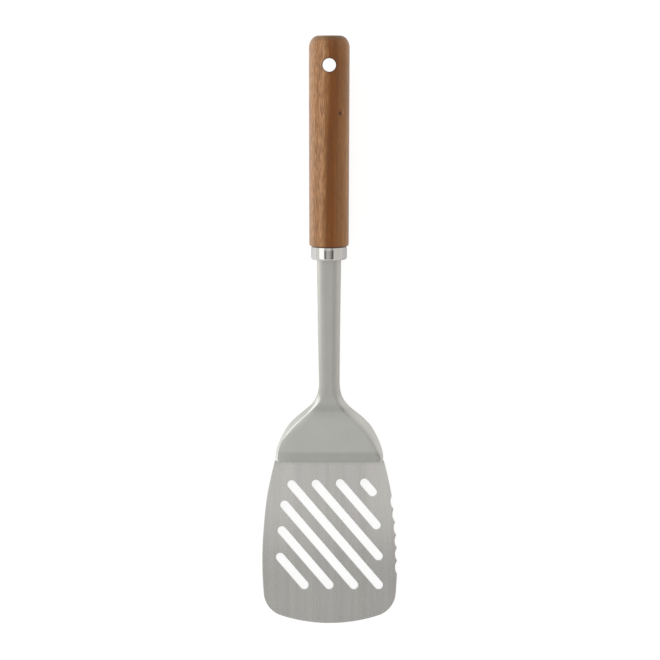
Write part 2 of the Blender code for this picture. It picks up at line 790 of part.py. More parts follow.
def main():
    """Builds the five pieces and lays the turner on the table."""
    clear_scene()
    turner = add_empty("turner_frame")
    grip = add_empty("grip_line")
    grip.parent = turner
    grip.matrix_local = grip_matrix()
    blade = make_blade()
    neck = make_neck()
    handle = make_handle()
    ferrule = make_ferrule()
    adhesive = make_tang_adhesive()
    blade.parent = turner
    neck.parent = turner
    for item in (handle, ferrule, adhesive):
        item.parent = grip
    level = Matrix.Identity(4)
    tilt = lying_tilt(low_points(neck, level), low_points(handle, grip_matrix()))
    gripped = [(item, grip_matrix()) for item in (handle, ferrule, adhesive)]
    lay_down(turner, [(blade, level), (neck, level)] + gripped, tilt)


main()
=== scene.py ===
"""Dressed model of a slotted turner: brushed blade, satin neck, polished ferrule and turned wooden handle.

Every piece is drawn in one of two frames. In the sheet frame the blade's underside is the plane z = 0, the
tip is at y = 0 and +Y points to the handle. In the grip frame the origin is the middle of the handle's
shoulder and +Y runs along the handle. Sizes are in metres, and pattern sizes in materials are in millimetres.
"""

from math import atan2, cos, pi, radians, sin, sqrt, tan

import bmesh
import bpy
import numpy as np
from bpy.props import FloatProperty, FloatVectorProperty, IntProperty, PointerProperty
from mathutils import Matrix, Vector
from mathutils.geometry import tessellate_polygon


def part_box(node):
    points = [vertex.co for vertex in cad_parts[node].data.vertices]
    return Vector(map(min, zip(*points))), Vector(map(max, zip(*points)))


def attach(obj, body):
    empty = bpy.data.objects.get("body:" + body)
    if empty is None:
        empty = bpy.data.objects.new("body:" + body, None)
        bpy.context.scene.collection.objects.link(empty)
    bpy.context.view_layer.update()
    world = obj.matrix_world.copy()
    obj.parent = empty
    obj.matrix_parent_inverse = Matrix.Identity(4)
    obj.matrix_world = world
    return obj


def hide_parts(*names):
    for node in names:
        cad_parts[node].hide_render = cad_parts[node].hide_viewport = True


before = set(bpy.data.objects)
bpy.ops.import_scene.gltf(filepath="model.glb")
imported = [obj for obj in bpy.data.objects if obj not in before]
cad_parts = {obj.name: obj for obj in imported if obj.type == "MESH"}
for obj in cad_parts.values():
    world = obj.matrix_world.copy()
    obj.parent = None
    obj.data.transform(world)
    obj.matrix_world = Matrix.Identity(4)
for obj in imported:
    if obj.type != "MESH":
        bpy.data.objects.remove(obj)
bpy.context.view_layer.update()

bl_info = {
    "name": "Slotted turner",
    "version": (1, 0, 0),
    "blender": (4, 5, 0),
    "location": "View3D > Sidebar > Turner",
    "description": "Builds the pieces of a slotted turner with a wooden handle, and its stage",
    "category": "Add Mesh",
}

BODY = "root"
BRUSH_MAP = "brush"
# Point mark on the neck: a painted highlight on the burnished left crease, and painted shade inside the right
# crease
BURNISH_SHEEN_AND_SHADE = "burnish_sheen_and_shade"

# The grey board over the turner, as shares of its level: by lean to the side, and by tip towards the handle
BOARD_ACROSS = [
    (-31, 0.42), (-21, 0.42), (-13, 1.12), (-2, 0.99), (4, 0.91), (11, 0.72),
    (17, 0.42), (21, 0.24), (28, 0.24),
]
BOARD_ALONG = [
    (-60, 1.15), (-42, 1.1), (-34, 0.98), (-22, 0.98), (-15, 1.04), (-8, 1.02),
    (-4, 1.03), (-1.5, 1.2), (1, 1.5), (3, 1.7), (12, 1.7),
]

# What is beyond the board, towards the handle: levels by lean to the side
BEYOND_ACROSS = [(-31, 0.75), (-18, 0.66), (-4, 0.86), (6, 0.80), (14, 0.60), (20, 0.46), (28, 0.50)]

# Soft edges of the lights, each from one angle to another, in degrees of lean or tip
BOARD_LEFT = (-32.0, -30.0)
BOARD_RIGHT = (28.0, 31.0)
BOARD_END = (0.0, 5.0)
SOFTBOX_LEFT = (-67.0, -63.0)
SOFTBOX_RIGHT = (-32.5, -30.5)
SOFTBOX_TOP = (41.0, 48.0)
END_WALLS = (45.0, 60.0)

# Leans over which the softbox loses some of its level, the walls change level and the light changes tone
SOFTBOX_FALL = (-45.0, -31.0)
SOFTBOX_LEAST = 0.88
WALLS_LEAN = (-66.0, 30.0)
TONES_LEAN = (-32.0, 20.0)

# Table: where its glow changes from left to right, and how far its shade near the turner reaches, in metres
TABLE_SIDES = (-0.006, 0.006)
TABLE_SHADE = 0.03

# Painted shade under the arch: share of the level taken off by distance from the toe in mm
ARCH_SHADE = [(24.0, 0.0), (27.0, 0.03), (29.5, 0.065), (32.3, 0.085), (33.6, 0.05), (35.0, 0.0)]

# Painted light: level of the blade's sheet by distance from the tip in mm, in place of the reflection's change
# along it
SHEET_ALONG = [
    (0, 1.01), (14, 1.01), (24, 0.985), (34, 0.98), (42, 1.0), (50, 1.04),
    (59, 1.06), (71, 1.075), (80, 1.06), (90, 1.04), (95, 1.02),
]

# Sideways place of the dark heart's edge by distance up the handle, both in mm. The offset is added to the
# places, because a colour ramp holds no level below 0.
HEART_OFFSET = 3.0
HEART_EDGE = [
    (0, 1.8), (15, 1.7), (50, 1.7), (66, 1.7), (78, 2.4),
    (90, 3.1), (96, 3.4), (108, 3.6), (118, 2.6), (125, 2.2),
]

# Share of painted sheen by distance across the handle in mm: paler wood along both sides stands in for light
# reflected at the grazing edges
EDGE_SHEEN = [(-12.0, 0.12), (-10.8, 0.17), (-9.0, 0.06), (-7.0, 0.0), (9.5, 0.0), (11.9, 0.12)]

# Level of the wood by distance across the handle in mm
WOOD_ACROSS = [
    (-12, 1.15), (-9.6, 1.12), (-8.2, 0.93), (-7.0, 0.82), (-5.9, 0.80), (-4.7, 0.98), (-3.6, 0.93),
    (-2.4, 0.80), (-1.2, 0.93), (0.0, 0.97), (12, 0.97),
]

# Tones of the wood's warmer and cooler patches, as shares of its colour
WARM_PATCH = (1.04, 0.975, 0.93)
COOL_PATCH = (1.0, 0.995, 1.04)

# Places along the turner between which the bow grows, stays and fades
BOW_ALONG = [-0.030, -0.005, 0.046, 0.175]

# The blade's left side is trimmed fully below the first height, and not above the second
TRIM_HEIGHTS = (0.058, 0.078)
TRIM_REACH = 0.03

# Metres: welded points, the lift of the neck's back that keeps it inside the CAD box, the neck's ring spacing
# and least spacing, and the eased edge of the ferrule's slot
WELD = 0.000002
HAIR = 0.000006
RING_STEP = 0.0006
RING_LEAST = 0.00004
SLOT_EASE = 0.00008

# Least length of a mitre, half width of the patch round the hole over its diameter, the tang's bluntness
MITRE_LEAST = 0.4
PATCH_SHARE = 0.76
TANG_POWER = 0.35

# Edges sharper than this many degrees stay sharp
SMOOTH_DEG = 40.0
NECK_SMOOTH_DEG = 32.0

MM = 1000.0
PICTURE_WIDTH = 660.0


# Sizes and colours that a user may change


def length(name, text, default):
    """A size in metres."""
    return FloatProperty(name=name, description=text, default=default, unit="LENGTH", precision=5)


def turn(name, text, default_deg):
    """An angle, kept in radians."""
    return FloatProperty(name=name, description=text, default=radians(default_deg), subtype="ANGLE")


def share(name, text, default):
    """A plain number."""
    return FloatProperty(name=name, description=text, default=default, precision=4)


def count(name, text, default):
    """A whole number."""
    return IntProperty(name=name, description=text, default=default, min=1)


def colour(name, text, default):
    """A linear colour."""
    return FloatVectorProperty(
        name=name, description=text, default=default, size=3, subtype="COLOR", min=0.0, max=1.0
    )


class TurnerFit(bpy.types.PropertyGroup):
    """How the pieces meet and how the turner lies."""

    gap: length("Seat gap", "Clearance between neighbouring pieces", 0.0003)
    lie: turn("Lie", "How far the blade's sheet is tipped down towards the handle", 4.561)
    bend: turn("Bend", "Angle between the blade's sheet and the grip", 10.0)
    bend_start: length("Bend start", "Straight part of the shoulder before the bend, from its toe", 0.0270)
    bend_radius: length("Bend radius", "Radius of the bend on the neck's back", 0.0800)
    bow: length("Bow", "How far the ferrule lies to the side of the straight line", -0.0002)
    reach: length("Neck reach", "Length along the neck from its toe to the handle", 0.1311)


class TurnerBlade(bpy.types.PropertyGroup):
    """Sizes of the sheet steel blade."""

    length: length("Length", "From the tip to the shoulder's lap", 0.0979)
    thick: length("Thickness", "Sheet thickness", 0.0010)
    half_width: length("Half width", "Half of the widest width", 0.04091)
    widest: length("Widest place", "Height of the widest place above the tip", 0.0381)
    side_radius: length("Side radius", "Radius of the long sides", 0.2254)
    left_trim: length("Left trim", "How much narrower the lower left side is than the right", 0.00045)
    tip_radius: length("Tip radius", "Radius of the curved tip", 0.0970)
    corner_radius: length("Corner radius", "Radius of the two lower corners", 0.0151)
    tab_length: length("Tab length", "Tab that is lapped under the shoulder", 0.0140)
    tab_width: length("Tab width", "Width of the hidden tab", 0.0440)
    tab_corner: length("Tab corner", "Corner radius of the hidden tab", 0.0030)
    edge_round: length("Edge rounding", "Rounding of the sheet's edges", 0.00028)
    scallops: count("Scallops", "Scallops on the right edge", 6)
    scallop_pitch: length("Scallop pitch", "From one scallop tip to the next", 0.00775)
    scallop_depth: length("Scallop depth", "Depth of a scallop", 0.0012)
    scallop_start: length("First scallop", "Height of the first scallop above the tip", 0.0297)
    slots: count("Slots", "Diagonal slots", 7)
    slot_width: length("Slot width", "Width of a slot", 0.00514)
    slot_pitch: length("Slot pitch", "From one slot's middle line to the next", 0.01127)
    slot_angle: turn("Slot angle", "Angle of the slots to the blade's width", 49.05)
    slot_offset: length("First slot", "Distance of the first slot's line from the tip", 0.0036)
    window_margin: length("Side margin", "Plain sheet between the slots and the sides", 0.0110)
    window_low: length("Slots' lower limit", "Height where the slots end near the tip", 0.0229)
    window_high: length("Slots' upper limit", "Height where the slots end near the shoulder", 0.0838)
    window_slant: turn("Upper limit's slant", "Slant of the slots' upper limit", 1.3)
    window_radius: length("Limit radius", "Radius of the slots' side limits", 0.4000)


class TurnerNeck(bpy.types.PropertyGroup):
    """Sizes of the neck: tang, shaft, arch, pan and toe."""

    overlap: length("Toe overlap", "How far the toe laps over the blade", 0.0011)
    shoulder: length("Shoulder half width", "Half width at the toe", 0.0325)
    toe_corner: length("Toe corner", "Radius of the toe's corners", 0.0025)
    knee: length("Knee", "Distance of the flank's knee from the toe", 0.0231)
    knee_width: length("Knee half width", "Half width at the knee", 0.0242)
    knee_angle: turn("Knee angle", "Direction of the flank at the knee", 41.4)
    low_pull: length("Low pull", "Straightness of the flank above the toe", 0.0085)
    knee_pull_low: length("Knee pull, low side", "Straightness below the knee", 0.0020)
    knee_pull_high: length("Knee pull, high side", "Straightness above the knee", 0.0142)
    root_pull: length("Root pull", "Straightness at the shaft's root", 0.0159)
    root: length("Shaft root", "Distance of the shaft's root from the toe", 0.0492)
    root_width: length("Root width", "Width of the shaft at its root", 0.0124)
    end_width: length("End width", "Width of the shaft at the ferrule", 0.0147)
    toe_thick: length("Toe thickness", "Height of the toe above the back", 0.0016)
    band: length("Band", "Sloping band along the toe", 0.0055)
    band_rounding: length("Band rounding", "Rounding on both sides of the band's upper edge", 0.0010)
    pan_foot: length("Pan foot", "Height of the pan above the band", 0.0030)
    pan_head_at: length("Pan head", "Where the pan ends, from the toe", 0.0295)
    pan_head: length("Pan head height", "Height of the pan's upper end", 0.0044)
    arch_at: length("Arch top", "Where the arch is full, from the toe", 0.0368)
    arch: length("Arch height", "Height at the top of the arch", 0.0052)
    shaft_end: length("Shaft height", "Height of the shaft at the ferrule", 0.0056)
    toe_edge: length("Toe edge", "Height of the edge at the toe", 0.0013)
    flank_edge: length("Flank edge", "Height of the edge on the shoulder", 0.0011)
    shaft_rise: length("Shaft rise", "Where the edge reaches the shaft's height, from the toe", 0.0440)
    shaft_edge: length("Shaft edge", "Height of the edge on the shaft", 0.0046)
    dish_slope: share("Dish slope", "Slope of the pan beside the crease", 0.24)
    dish_left: share("Left dish slope", "Slope of the pan beside the left crease", 0.10)
    dish_toe: length("Dish at the toe", "Width of the falling part inside the crease, at the toe", 0.0005)
    dish: length("Dish width", "Widest width of the falling part inside the crease", 0.0055)
    dish_full: length("Dish full at", "Where the falling part is widest, from the toe", 0.0260)
    dish_growth: share("Dish growth", "Power by which the falling part widens from the toe", 0.6)
    dish_rounding: share("Dish rounding", "Share of the falling part over which its slope starts", 0.4)
    crease_root: length("Crease root", "Where the crease meets the shaft, from the toe", 0.0480)
    crease_root_pull: length("Crease root pull", "Straightness of the crease at the shaft", 0.0195)
    crease_toe: length("Crease end", "Where the crease ends near the toe, from the toe", 0.0024)
    crease_toe_width: length("Crease half width", "Half width of the crease near the toe", 0.0315)
    crease_toe_pull: length("Crease toe pull", "Straightness of the crease near the toe", 0.0235)
    crease_left: length("Crease left shift", "How much further out the left crease lies", 0.0022)
    crease_flare: share("Crease flare", "How fast the crease closes in from the toe", 0.25)
    crease_rounding: length("Crease rounding", "Rounding on both sides of the crease", 0.0017)
    edge_drop: length("Right edge drop", "How much lower the shaft's right edge lies", 0.00050)
    right_softness: share("Right softness", "Rounding of the right crease over that of the left", 1.5)
    shade_reach: length("Shade reach", "Half width of the darker line inside the right crease", 0.0017)
    # Width of the left crease's mark, which is burnished and carries a painted highlight in its colour
    burnish_sheen_reach: length("Burnish reach", "Half width of the brighter line along the left crease", 0.0012)
    shaft_bevel: length("Shaft bevel", "From the crease to the edge along the shaft", 0.0028)
    toe_bevel: length("Toe bevel", "Least distance from the crease to the edge", 0.0007)
    edge_round: length("Edge rounding", "Rounding between the crown and the edge", 0.00035)
    back_round: length("Back rounding", "Rounding along the back", 0.0005)
    tang_width: length("Tang width", "Width of the hidden tang", 0.0070)
    tang_thick: length("Tang thickness", "Thickness of the hidden tang", 0.0035)
    tang_depth: length("Tang depth", "Depth of the tang in the handle", 0.0550)


class TurnerGrip(bpy.types.PropertyGroup):
    """Sizes of the ferrule and the handle."""

    ferrule_radius: length("Ferrule radius", "Outer radius of the ferrule", 0.01068)
    ferrule_height: length("Ferrule height", "Height of the ferrule", 0.0076)
    ferrule_wall: length("Ferrule wall", "Sheet thickness of the ferrule", 0.0006)
    rim_length: length("Rim length", "Length of the ferrule's drawn-in rim", 0.0020)
    rim_fall: length("Rim fall", "How far the ferrule's rim is drawn in", 0.00026)
    ferrule_corner: length("Ferrule corner", "Rounding of the closed end", 0.0014)
    stub: length("Shaft stub", "How far the shaft enters the ferrule", 0.0007)
    handle_length: length("Handle length", "From the shoulder to the top", 0.12347)
    top_radius: length("Top radius", "Radius below the rounded top", 0.011966)
    low_radius: length("Low radius", "Radius above the shoulder", 0.01172)
    crown_length: length("Crown length", "Length of the rounded top", 0.0072)
    crown_depth: length("Crown depth", "Depth of the rounded top", 0.0055)
    low_ease: length("Shoulder rounding", "Rounding of the handle's lower edge", 0.0014)
    hole: length("Hanging hole", "Diameter of the hanging hole", 0.0079)
    hole_from_top: length("Hole from top", "Distance of the hole's middle from the top", 0.0170)
    hole_round: length("Hole rounding", "Rounding of the hole's rim", 0.00035)
    bore: length("Bore", "Diameter of the bore for the tang", 0.0110)
    bore_depth: length("Bore depth", "Depth of the bore for the tang", 0.0580)


class TurnerFinish(bpy.types.PropertyGroup):
    """Colours and roughness of the finishes."""

    wood_light: colour("Light wood", "Light bands of the wood", (0.476, 0.247, 0.110))
    wood_mid: colour("Middle wood", "Middle tone of the wood", (0.305, 0.138, 0.042))
    wood_dark: colour("Dark wood", "Dark heart streak of the wood", (0.205, 0.070, 0.012))
    wood_pore: colour("Pores", "Pores and flecks in the wood", (0.075, 0.028, 0.011))
    # Painted sheen: this pale colour along the handle's sides stands in for light reflected at the grazing
    # edges
    wood_edge_sheen: colour("Worn wood", "Paler wood along the sides", (0.80, 0.68, 0.58))
    wood_dash: colour("Dark dashes", "Short dark dashes in the light wood", (0.225, 0.092, 0.036))
    wood_end: colour("End grain", "Wood at the rounded top", (0.17, 0.105, 0.045))
    blade_steel: colour("Blade steel", "Brushed steel", (0.630, 0.621, 0.616))
    blade_tint: colour("Blade steel tint", "Brushed steel where it is a little greener", (0.627, 0.629, 0.615))
    neck_steel: colour("Neck steel", "Satin steel of the shaft", (0.632, 0.628, 0.600))
    pan_steel: colour("Pan steel", "Satin steel of the shoulder's pan, a little cooler", (0.667, 0.679, 0.652))
    ferrule_steel: colour("Ferrule steel", "Polished steel", (0.64, 0.63, 0.612))
    resin: colour("Resin", "Cured resin in the bore", (0.42, 0.33, 0.20))
    resin_dark: colour("Dark resin", "Cloudy places in the resin", (0.30, 0.22, 0.12))


class TurnerStage(bpy.types.PropertyGroup):
    """Camera, floor and the dome of soft light."""

    distance: length("Camera distance", "From the camera to the handle's shoulder", 1.047363)
    focal_pixels: share("Focal length in pixels", "For a picture 660 pixels wide", 1761.0)
    tilt: turn("Camera tilt", "Turn of the view about the blade's width", -3.037)
    aim_x: length("Aim across", "Offset of the shoulder from the picture's middle", -0.000418)
    aim_y: length("Aim along", "Offset of the shoulder from the picture's middle", 0.049973)
    dome_radius: length("Dome radius", "Radius of the dome of soft light", 6.0)
    board: share("Board level", "Level of the grey board above the turner", 0.56)
    wall_left: share("Left wall", "Level of the pale wall on the left", 0.92)
    wall_right: share("Right wall", "Level of the pale wall on the right", 0.79)
    wall_ends: share("End walls", "Level of the pale walls beyond the handle and the blade", 0.90)
    softbox: share("Softbox level", "Level of the softbox on the left", 1.60)
    table_right: share("Table on the right", "Share of the table's glow seen in metal on the right", 0.62)
    left_tone: colour("Left tone", "Tone of the light from the left", (1.0, 1.0, 0.965))
    right_tone: colour("Right tone", "Tone of the light from the right", (1.0, 0.972, 0.935))
    table_glow: share("Table glow", "Level that the table shows to metal", 0.80)
    table_seen: share("Table seen", "Level that the table adds for the camera", 0.85)
    table_cloth: colour("Table", "Colour of the table under its glow", (0.30, 0.30, 0.30))


# Frames and mesh helpers


def sizes(name):
    """One of the scene's property groups."""
    return getattr(bpy.context.scene, "turner_" + name)


def sheet_frame():
    """Matrix from the sheet frame to the row frame: the tip touches the low end of the blade node's box."""
    fit, blade = sizes("fit"), sizes("blade")
    low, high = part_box("blade")
    place = Vector(((low.x + high.x) / 2.0, low.y, high.z - blade.thick * cos(fit.lie)))
    return Matrix.Translation(place) @ Matrix.Rotation(-fit.lie, 4, "X")


def toe_line():
    """Distance of the shoulder's toe from the blade's tip."""
    blade, neck = sizes("blade"), sizes("neck")
    return blade.length - neck.overlap


def spine(along):
    """The middle of the neck's back: y, z and pitch for distances from the toe.

    A straight, one arc of the bend's angle, then a straight that leaves the arc at that angle.
    """
    fit = sizes("fit")
    along = np.asarray(along, float)
    arc = fit.bend_radius * fit.bend
    pitch = np.clip((along - fit.bend_start) / fit.bend_radius, 0.0, fit.bend)
    rest = np.maximum(0.0, along - fit.bend_start - arc)
    flat = np.minimum(along, fit.bend_start)
    y = toe_line() + flat + fit.bend_radius * np.sin(pitch) + rest * np.cos(pitch)
    z = fit.bend_radius * (1.0 - np.cos(pitch)) + rest * np.sin(pitch)
    return y, z, pitch


def grip_frame():
    """Matrix from the grip frame to the row frame."""
    fit, neck = sizes("fit"), sizes("neck")
    y, z, pitch = (float(value) for value in spine(fit.reach))
    half = neck.shaft_end / 2.0
    place = Matrix.Translation((0.0, y - half * sin(pitch), z + half * cos(pitch)))
    return sheet_frame() @ place @ Matrix.Rotation(pitch, 4, "X")


def ease(value, start, end):
    """Rises smoothly from 0 at start to 1 at end: 3 s squared minus 2 s cubed."""
    part = np.clip((np.asarray(value, float) - start) / (end - start), 0.0, 1.0)
    return part * part * (3.0 - 2.0 * part)


def quarter(points):
    """A quarter turn in even steps, as two rows: 1 minus the sine, and 1 minus the cosine, of its angle."""
    angles = np.linspace(0.0, pi / 2.0, points)
    return np.stack([1.0 - np.sin(angles), 1.0 - np.cos(angles)])


def arc(centre, radius, start, end, points):
    """Points on an arc in a plane: centre plus radius times (cosine, sine) of evenly spaced angles."""
    angles = np.linspace(start, end, points)
    return np.stack([centre[0] + radius * np.cos(angles), centre[1] + radius * np.sin(angles)], axis=1)


def quads(index):
    """Faces between neighbouring rows and columns of a grid of point numbers."""
    corners = [index[:-1, :-1], index[:-1, 1:], index[1:, 1:], index[1:, :-1]]
    return np.stack(corners, axis=-1).reshape(-1, 4).tolist()


def put(name, data):
    """A new object of a mesh or camera in the scene."""
    thing = bpy.data.objects.new(name, data)
    bpy.context.scene.collection.objects.link(thing)
    return thing


def points_of(mesh):
    """The places of a mesh's points, one row each."""
    points = np.empty(len(mesh.vertices) * 3)
    mesh.vertices.foreach_get("co", points)
    return points.reshape(-1, 3)


class Skin:
    """Collects grids of points and flat fills, and welds them into one closed mesh."""

    def __init__(self):
        self.points = []
        self.faces = []
        self.total = 0

    def add_points(self, points):
        """Keeps an array of points and gives the index of its first one."""
        start = self.total
        self.points.append(np.asarray(points, float).reshape(-1, 3))
        self.total += len(self.points[-1])
        return start

    def grid(self, points, around=False, along=False):
        """A grid of rows and columns; around joins the last column to the first, along the last row."""
        rows, columns = points.shape[:2]
        index = self.add_points(points) + np.arange(rows * columns).reshape(rows, columns)
        if around:
            index = np.concatenate([index, index[:, :1]], axis=1)
        if along:
            index = np.concatenate([index, index[:1]], axis=0)
        self.faces.extend(quads(index))

    def fill(self, loops, height):
        """A flat face at a height between an outer loop and the loops of its holes."""
        start = self.add_points(np.concatenate([lift(loop, height) for loop in loops]))
        shapes = [[Vector((x, y, 0.0)) for x, y in loop] for loop in loops]
        self.faces.extend([[start + k for k in face] for face in tessellate_polygon(shapes)])

    def make(self, name, matrix):
        """The bowed and welded object, with its place in its mesh and its faces outwards."""
        mesh = bpy.data.meshes.new(name)
        points = np.concatenate(self.points) @ np.array(matrix.to_3x3()).T + np.array(matrix.translation)
        points[:, 0] += bow(points[:, 1])
        mesh.from_pydata(points.tolist(), [], self.faces)
        bm = bmesh.new()
        bm.from_mesh(mesh)
        bmesh.ops.remove_doubles(bm, verts=bm.verts, dist=WELD)
        bmesh.ops.dissolve_degenerate(bm, edges=bm.edges, dist=WELD / 4.0)
        bmesh.ops.recalc_face_normals(bm, faces=bm.faces)
        open_edges = [edge for edge in bm.edges if not edge.is_manifold]
        bm.to_mesh(mesh)
        bm.free()
        if open_edges:
            raise RuntimeError(f"{name} isn't closed: {len(open_edges)} open edges")
        piece = put(name, mesh)
        soften(piece, SMOOTH_DEG)
        return piece


def bow(along):
    """Sideways shift by the place along the turner: none at the blade and the top, most at the ferrule."""
    most = sizes("fit").bow
    return np.interp(along, BOW_ALONG, [0.0, most, most, 0.0])


def lift(loop, height):
    """A plane loop carried to a height."""
    return np.column_stack([loop, np.full(len(loop), height)])


def soften(piece, smooth_deg):
    """Smooth shading, with edges over an angle kept sharp."""
    piece.data.shade_smooth()
    piece.data.set_sharp_from_angle(angle=radians(smooth_deg))


def lay_map(piece, name):
    """A flat map over a piece, with its first direction across the turner and its second along it."""
    mesh = piece.data
    corners = np.empty(len(mesh.loops), int)
    mesh.loops.foreach_get("vertex_index", corners)
    mesh.uv_layers.new(name=name).data.foreach_set("uv", points_of(mesh)[corners, :2].ravel())


def mark_crease(piece):
    """Marks the neck's face by its distance to a crease, exp(-(d / reach) squared).

    The mark is positive at the left crease, where the steel is burnished and painted brighter as a highlight,
    and negative just inside the right one, where it is painted darker as shade.
    """
    neck = sizes("neck")
    to_sheet = np.array(sheet_frame().inverted())
    points = points_of(piece.data) @ to_sheet[:3, :3].T + to_sheet[:3, 3]
    from_toe = points[:, 1] - toe_line()
    along = np.clip(from_toe, neck.crease_toe, neck.crease_root)
    width = half_width(along)
    away = (-points[:, 0] - crease_line(along, width, True)) / neck.burnish_sheen_reach
    inside = (crease_line(along, width, False) - points[:, 0]) / neck.shade_reach - 1.0
    mark = np.exp(-(away**2)) - np.exp(-(inside**2))
    mark *= 1.0 - ease(from_toe, neck.dish_full, neck.crease_root)
    piece.data.attributes.new(BURNISH_SHEEN_AND_SHADE, "FLOAT", "POINT").data.foreach_set("value", mark.astype(np.float32))


def fit_piece(piece, material, node):
    """Gives a piece its finish and its place on the body, and hides the node that it stands for."""
    piece.data.materials.clear()
    piece.data.materials.append(material)
    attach(piece, BODY)
    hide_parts(node)


# Blade: closed outlines, a rounded edge carried along each, and flat faces between them


def side_centre():
    """Centre of the right side's long arc."""
    blade = sizes("blade")
    return np.array([blade.half_width - blade.side_radius, blade.widest])


def corner_centre():
    """Centre of the lower corner, inside both the tip's arc and the side's arc."""
    blade = sizes("blade")
    side = side_centre()
    tip = np.array([0.0, blade.tip_radius])
    span = np.linalg.norm(side - tip)
    to_tip = blade.tip_radius - blade.corner_radius
    to_side = blade.side_radius - blade.corner_radius
    foot = (to_tip**2 - to_side**2 + span**2) / (2.0 * span)
    along = (side - tip) / span
    return tip + along * foot + np.array([-along[1], along[0]]) * sqrt(to_tip**2 - foot**2)


def side_angle(height):
    """Angle on the side's arc at a height above the tip."""
    blade = sizes("blade")
    return float(np.arcsin((height - blade.widest) / blade.side_radius))


def scallop_arcs():
    """The right side between its first and last scallop tip: concave arcs through neighbouring tips."""
    blade = sizes("blade")
    centre = side_centre()
    heights = blade.scallop_start + blade.scallop_pitch * np.arange(blade.scallops + 1)
    across = centre[0] + np.sqrt(blade.side_radius**2 - (heights - centre[1]) ** 2)
    tips = np.stack([across, heights], axis=1)
    chord = tips[1:] - tips[:-1]
    span = np.linalg.norm(chord, axis=1, keepdims=True)
    radius = (span**2 / 4.0 + blade.scallop_depth**2) / (2.0 * blade.scallop_depth)
    outward = np.stack([chord[:, 1], -chord[:, 0]], axis=1) / span
    middle = (tips[1:] + tips[:-1]) / 2.0 + outward * (radius - blade.scallop_depth)
    half = np.arcsin(span / (2.0 * radius))
    facing = np.arctan2(-outward[:, 1:], -outward[:, :1])
    angles = facing + half * np.linspace(1.0, -1.0, 15)[None, :-1]
    arcs = middle[:, None, :] + radius[:, None] * np.stack([np.cos(angles), np.sin(angles)], axis=-1)
    return arcs.reshape(-1, 2)


def blade_outline():
    """The sheet's outline, anticlockwise: tip, right corner, scalloped side, tab, left side, left corner."""
    blade = sizes("blade")
    corner = corner_centre()
    side = side_centre()
    on_tip = atan2(corner[1] - blade.tip_radius, corner[0])
    on_side = atan2(corner[1] - side[1], corner[0] - side[0])
    tip = arc((0.0, blade.tip_radius), blade.tip_radius, -pi / 2.0, on_tip, 36)
    round_corner = arc(corner, blade.corner_radius, on_tip, on_side, 22)[1:]
    first = side_angle(blade.scallop_start)
    last = side_angle(blade.scallop_start + blade.scallop_pitch * blade.scallops)
    top = side_angle(blade.length)
    below = arc(side, blade.side_radius, on_side, first, 12)[1:-1]
    above = arc(side, blade.side_radius, last, top, 16)
    plain = arc(side, blade.side_radius, on_side, top, 60)[1:]
    tab = blade.tab_width / 2.0
    end = blade.length + blade.tab_length
    tab_arc = arc((tab - blade.tab_corner, end - blade.tab_corner), blade.tab_corner, 0.0, pi / 2.0, 9)
    tab_side = np.vstack([[[tab, blade.length]], tab_arc])
    right = np.vstack([tip, round_corner, below, scallop_arcs(), above, tab_side])
    left = np.vstack([tip[1:], round_corner, plain, tab_side])[::-1] * np.array([-1.0, 1.0])
    low = 1.0 - ease(left[:, 1], *TRIM_HEIGHTS)
    left[:, 0] += blade.left_trim * low * np.clip(-left[:, 0] / TRIM_REACH, 0.0, 1.0)
    return np.vstack([right, left])


def slot_outlines():
    """Each slot's outline, clockwise: two half circles joined by straights.

    A slot's middle line lies at the slot angle, and is cut off where it leaves a window. The window has a
    level lower limit, a slanted upper limit and long arcs at its sides.
    """
    blade = sizes("blade")
    along = np.array([cos(blade.slot_angle), -sin(blade.slot_angle)])
    across = np.array([sin(blade.slot_angle), cos(blade.slot_angle)])
    slant = tan(blade.window_slant)
    feet = across * (blade.slot_offset + blade.slot_pitch * np.arange(blade.slots))[:, None]
    to_high = (blade.window_high + slant * feet[:, 0] - feet[:, 1]) / (along[1] - slant * along[0])
    to_low = (blade.window_low - feet[:, 1]) / along[1]
    side = blade.half_width - blade.window_margin - blade.window_radius
    ends = []
    for heading, x in ((-along, -side), (along, side)):
        offset = feet - np.array([x, blade.window_low])
        reach = offset @ heading
        ends.append(np.sqrt(reach**2 - (offset**2).sum(axis=1) + blade.window_radius**2) - reach)
    starts = feet + along * np.maximum(to_high, -ends[0])[:, None]
    stops = feet + along * np.minimum(to_low, ends[1])[:, None]
    heading = -blade.slot_angle
    radius = blade.slot_width / 2.0
    loops = []
    for start, stop in zip(starts, stops):
        far = arc(stop, radius, heading - pi / 2.0, heading + pi / 2.0, 19)
        near = arc(start, radius, heading + pi / 2.0, heading + 1.5 * pi, 19)
        loops.append(np.vstack([far, near])[::-1])
    return loops


def inset(loop, distances):
    """Loops moved to their left by distances: each corner moves along its mitre."""
    ahead = np.roll(loop, -1, axis=0) - loop
    ahead /= np.linalg.norm(ahead, axis=1, keepdims=True)
    behind = np.roll(ahead, 1, axis=0)
    left_ahead = np.stack([-ahead[:, 1], ahead[:, 0]], axis=1)
    left_behind = np.stack([-behind[:, 1], behind[:, 0]], axis=1)
    mitre = left_ahead + left_behind
    mitre /= np.maximum((mitre * left_ahead).sum(axis=1, keepdims=True), MITRE_LEAST)
    return loop[None] + mitre[None] * np.asarray(distances)[:, None, None]


def edge_profile(thick, rounding):
    """Distances inwards and heights of a sheet's rounded edge, from its underside to its face."""
    inward, upward = rounding * quarter(5)
    innermost = [rounding * 1.5]
    distances = np.concatenate([innermost, inward, inward[::-1], innermost])
    heights = np.concatenate([[0.0], upward, thick - upward[::-1], [thick]])
    return distances, heights


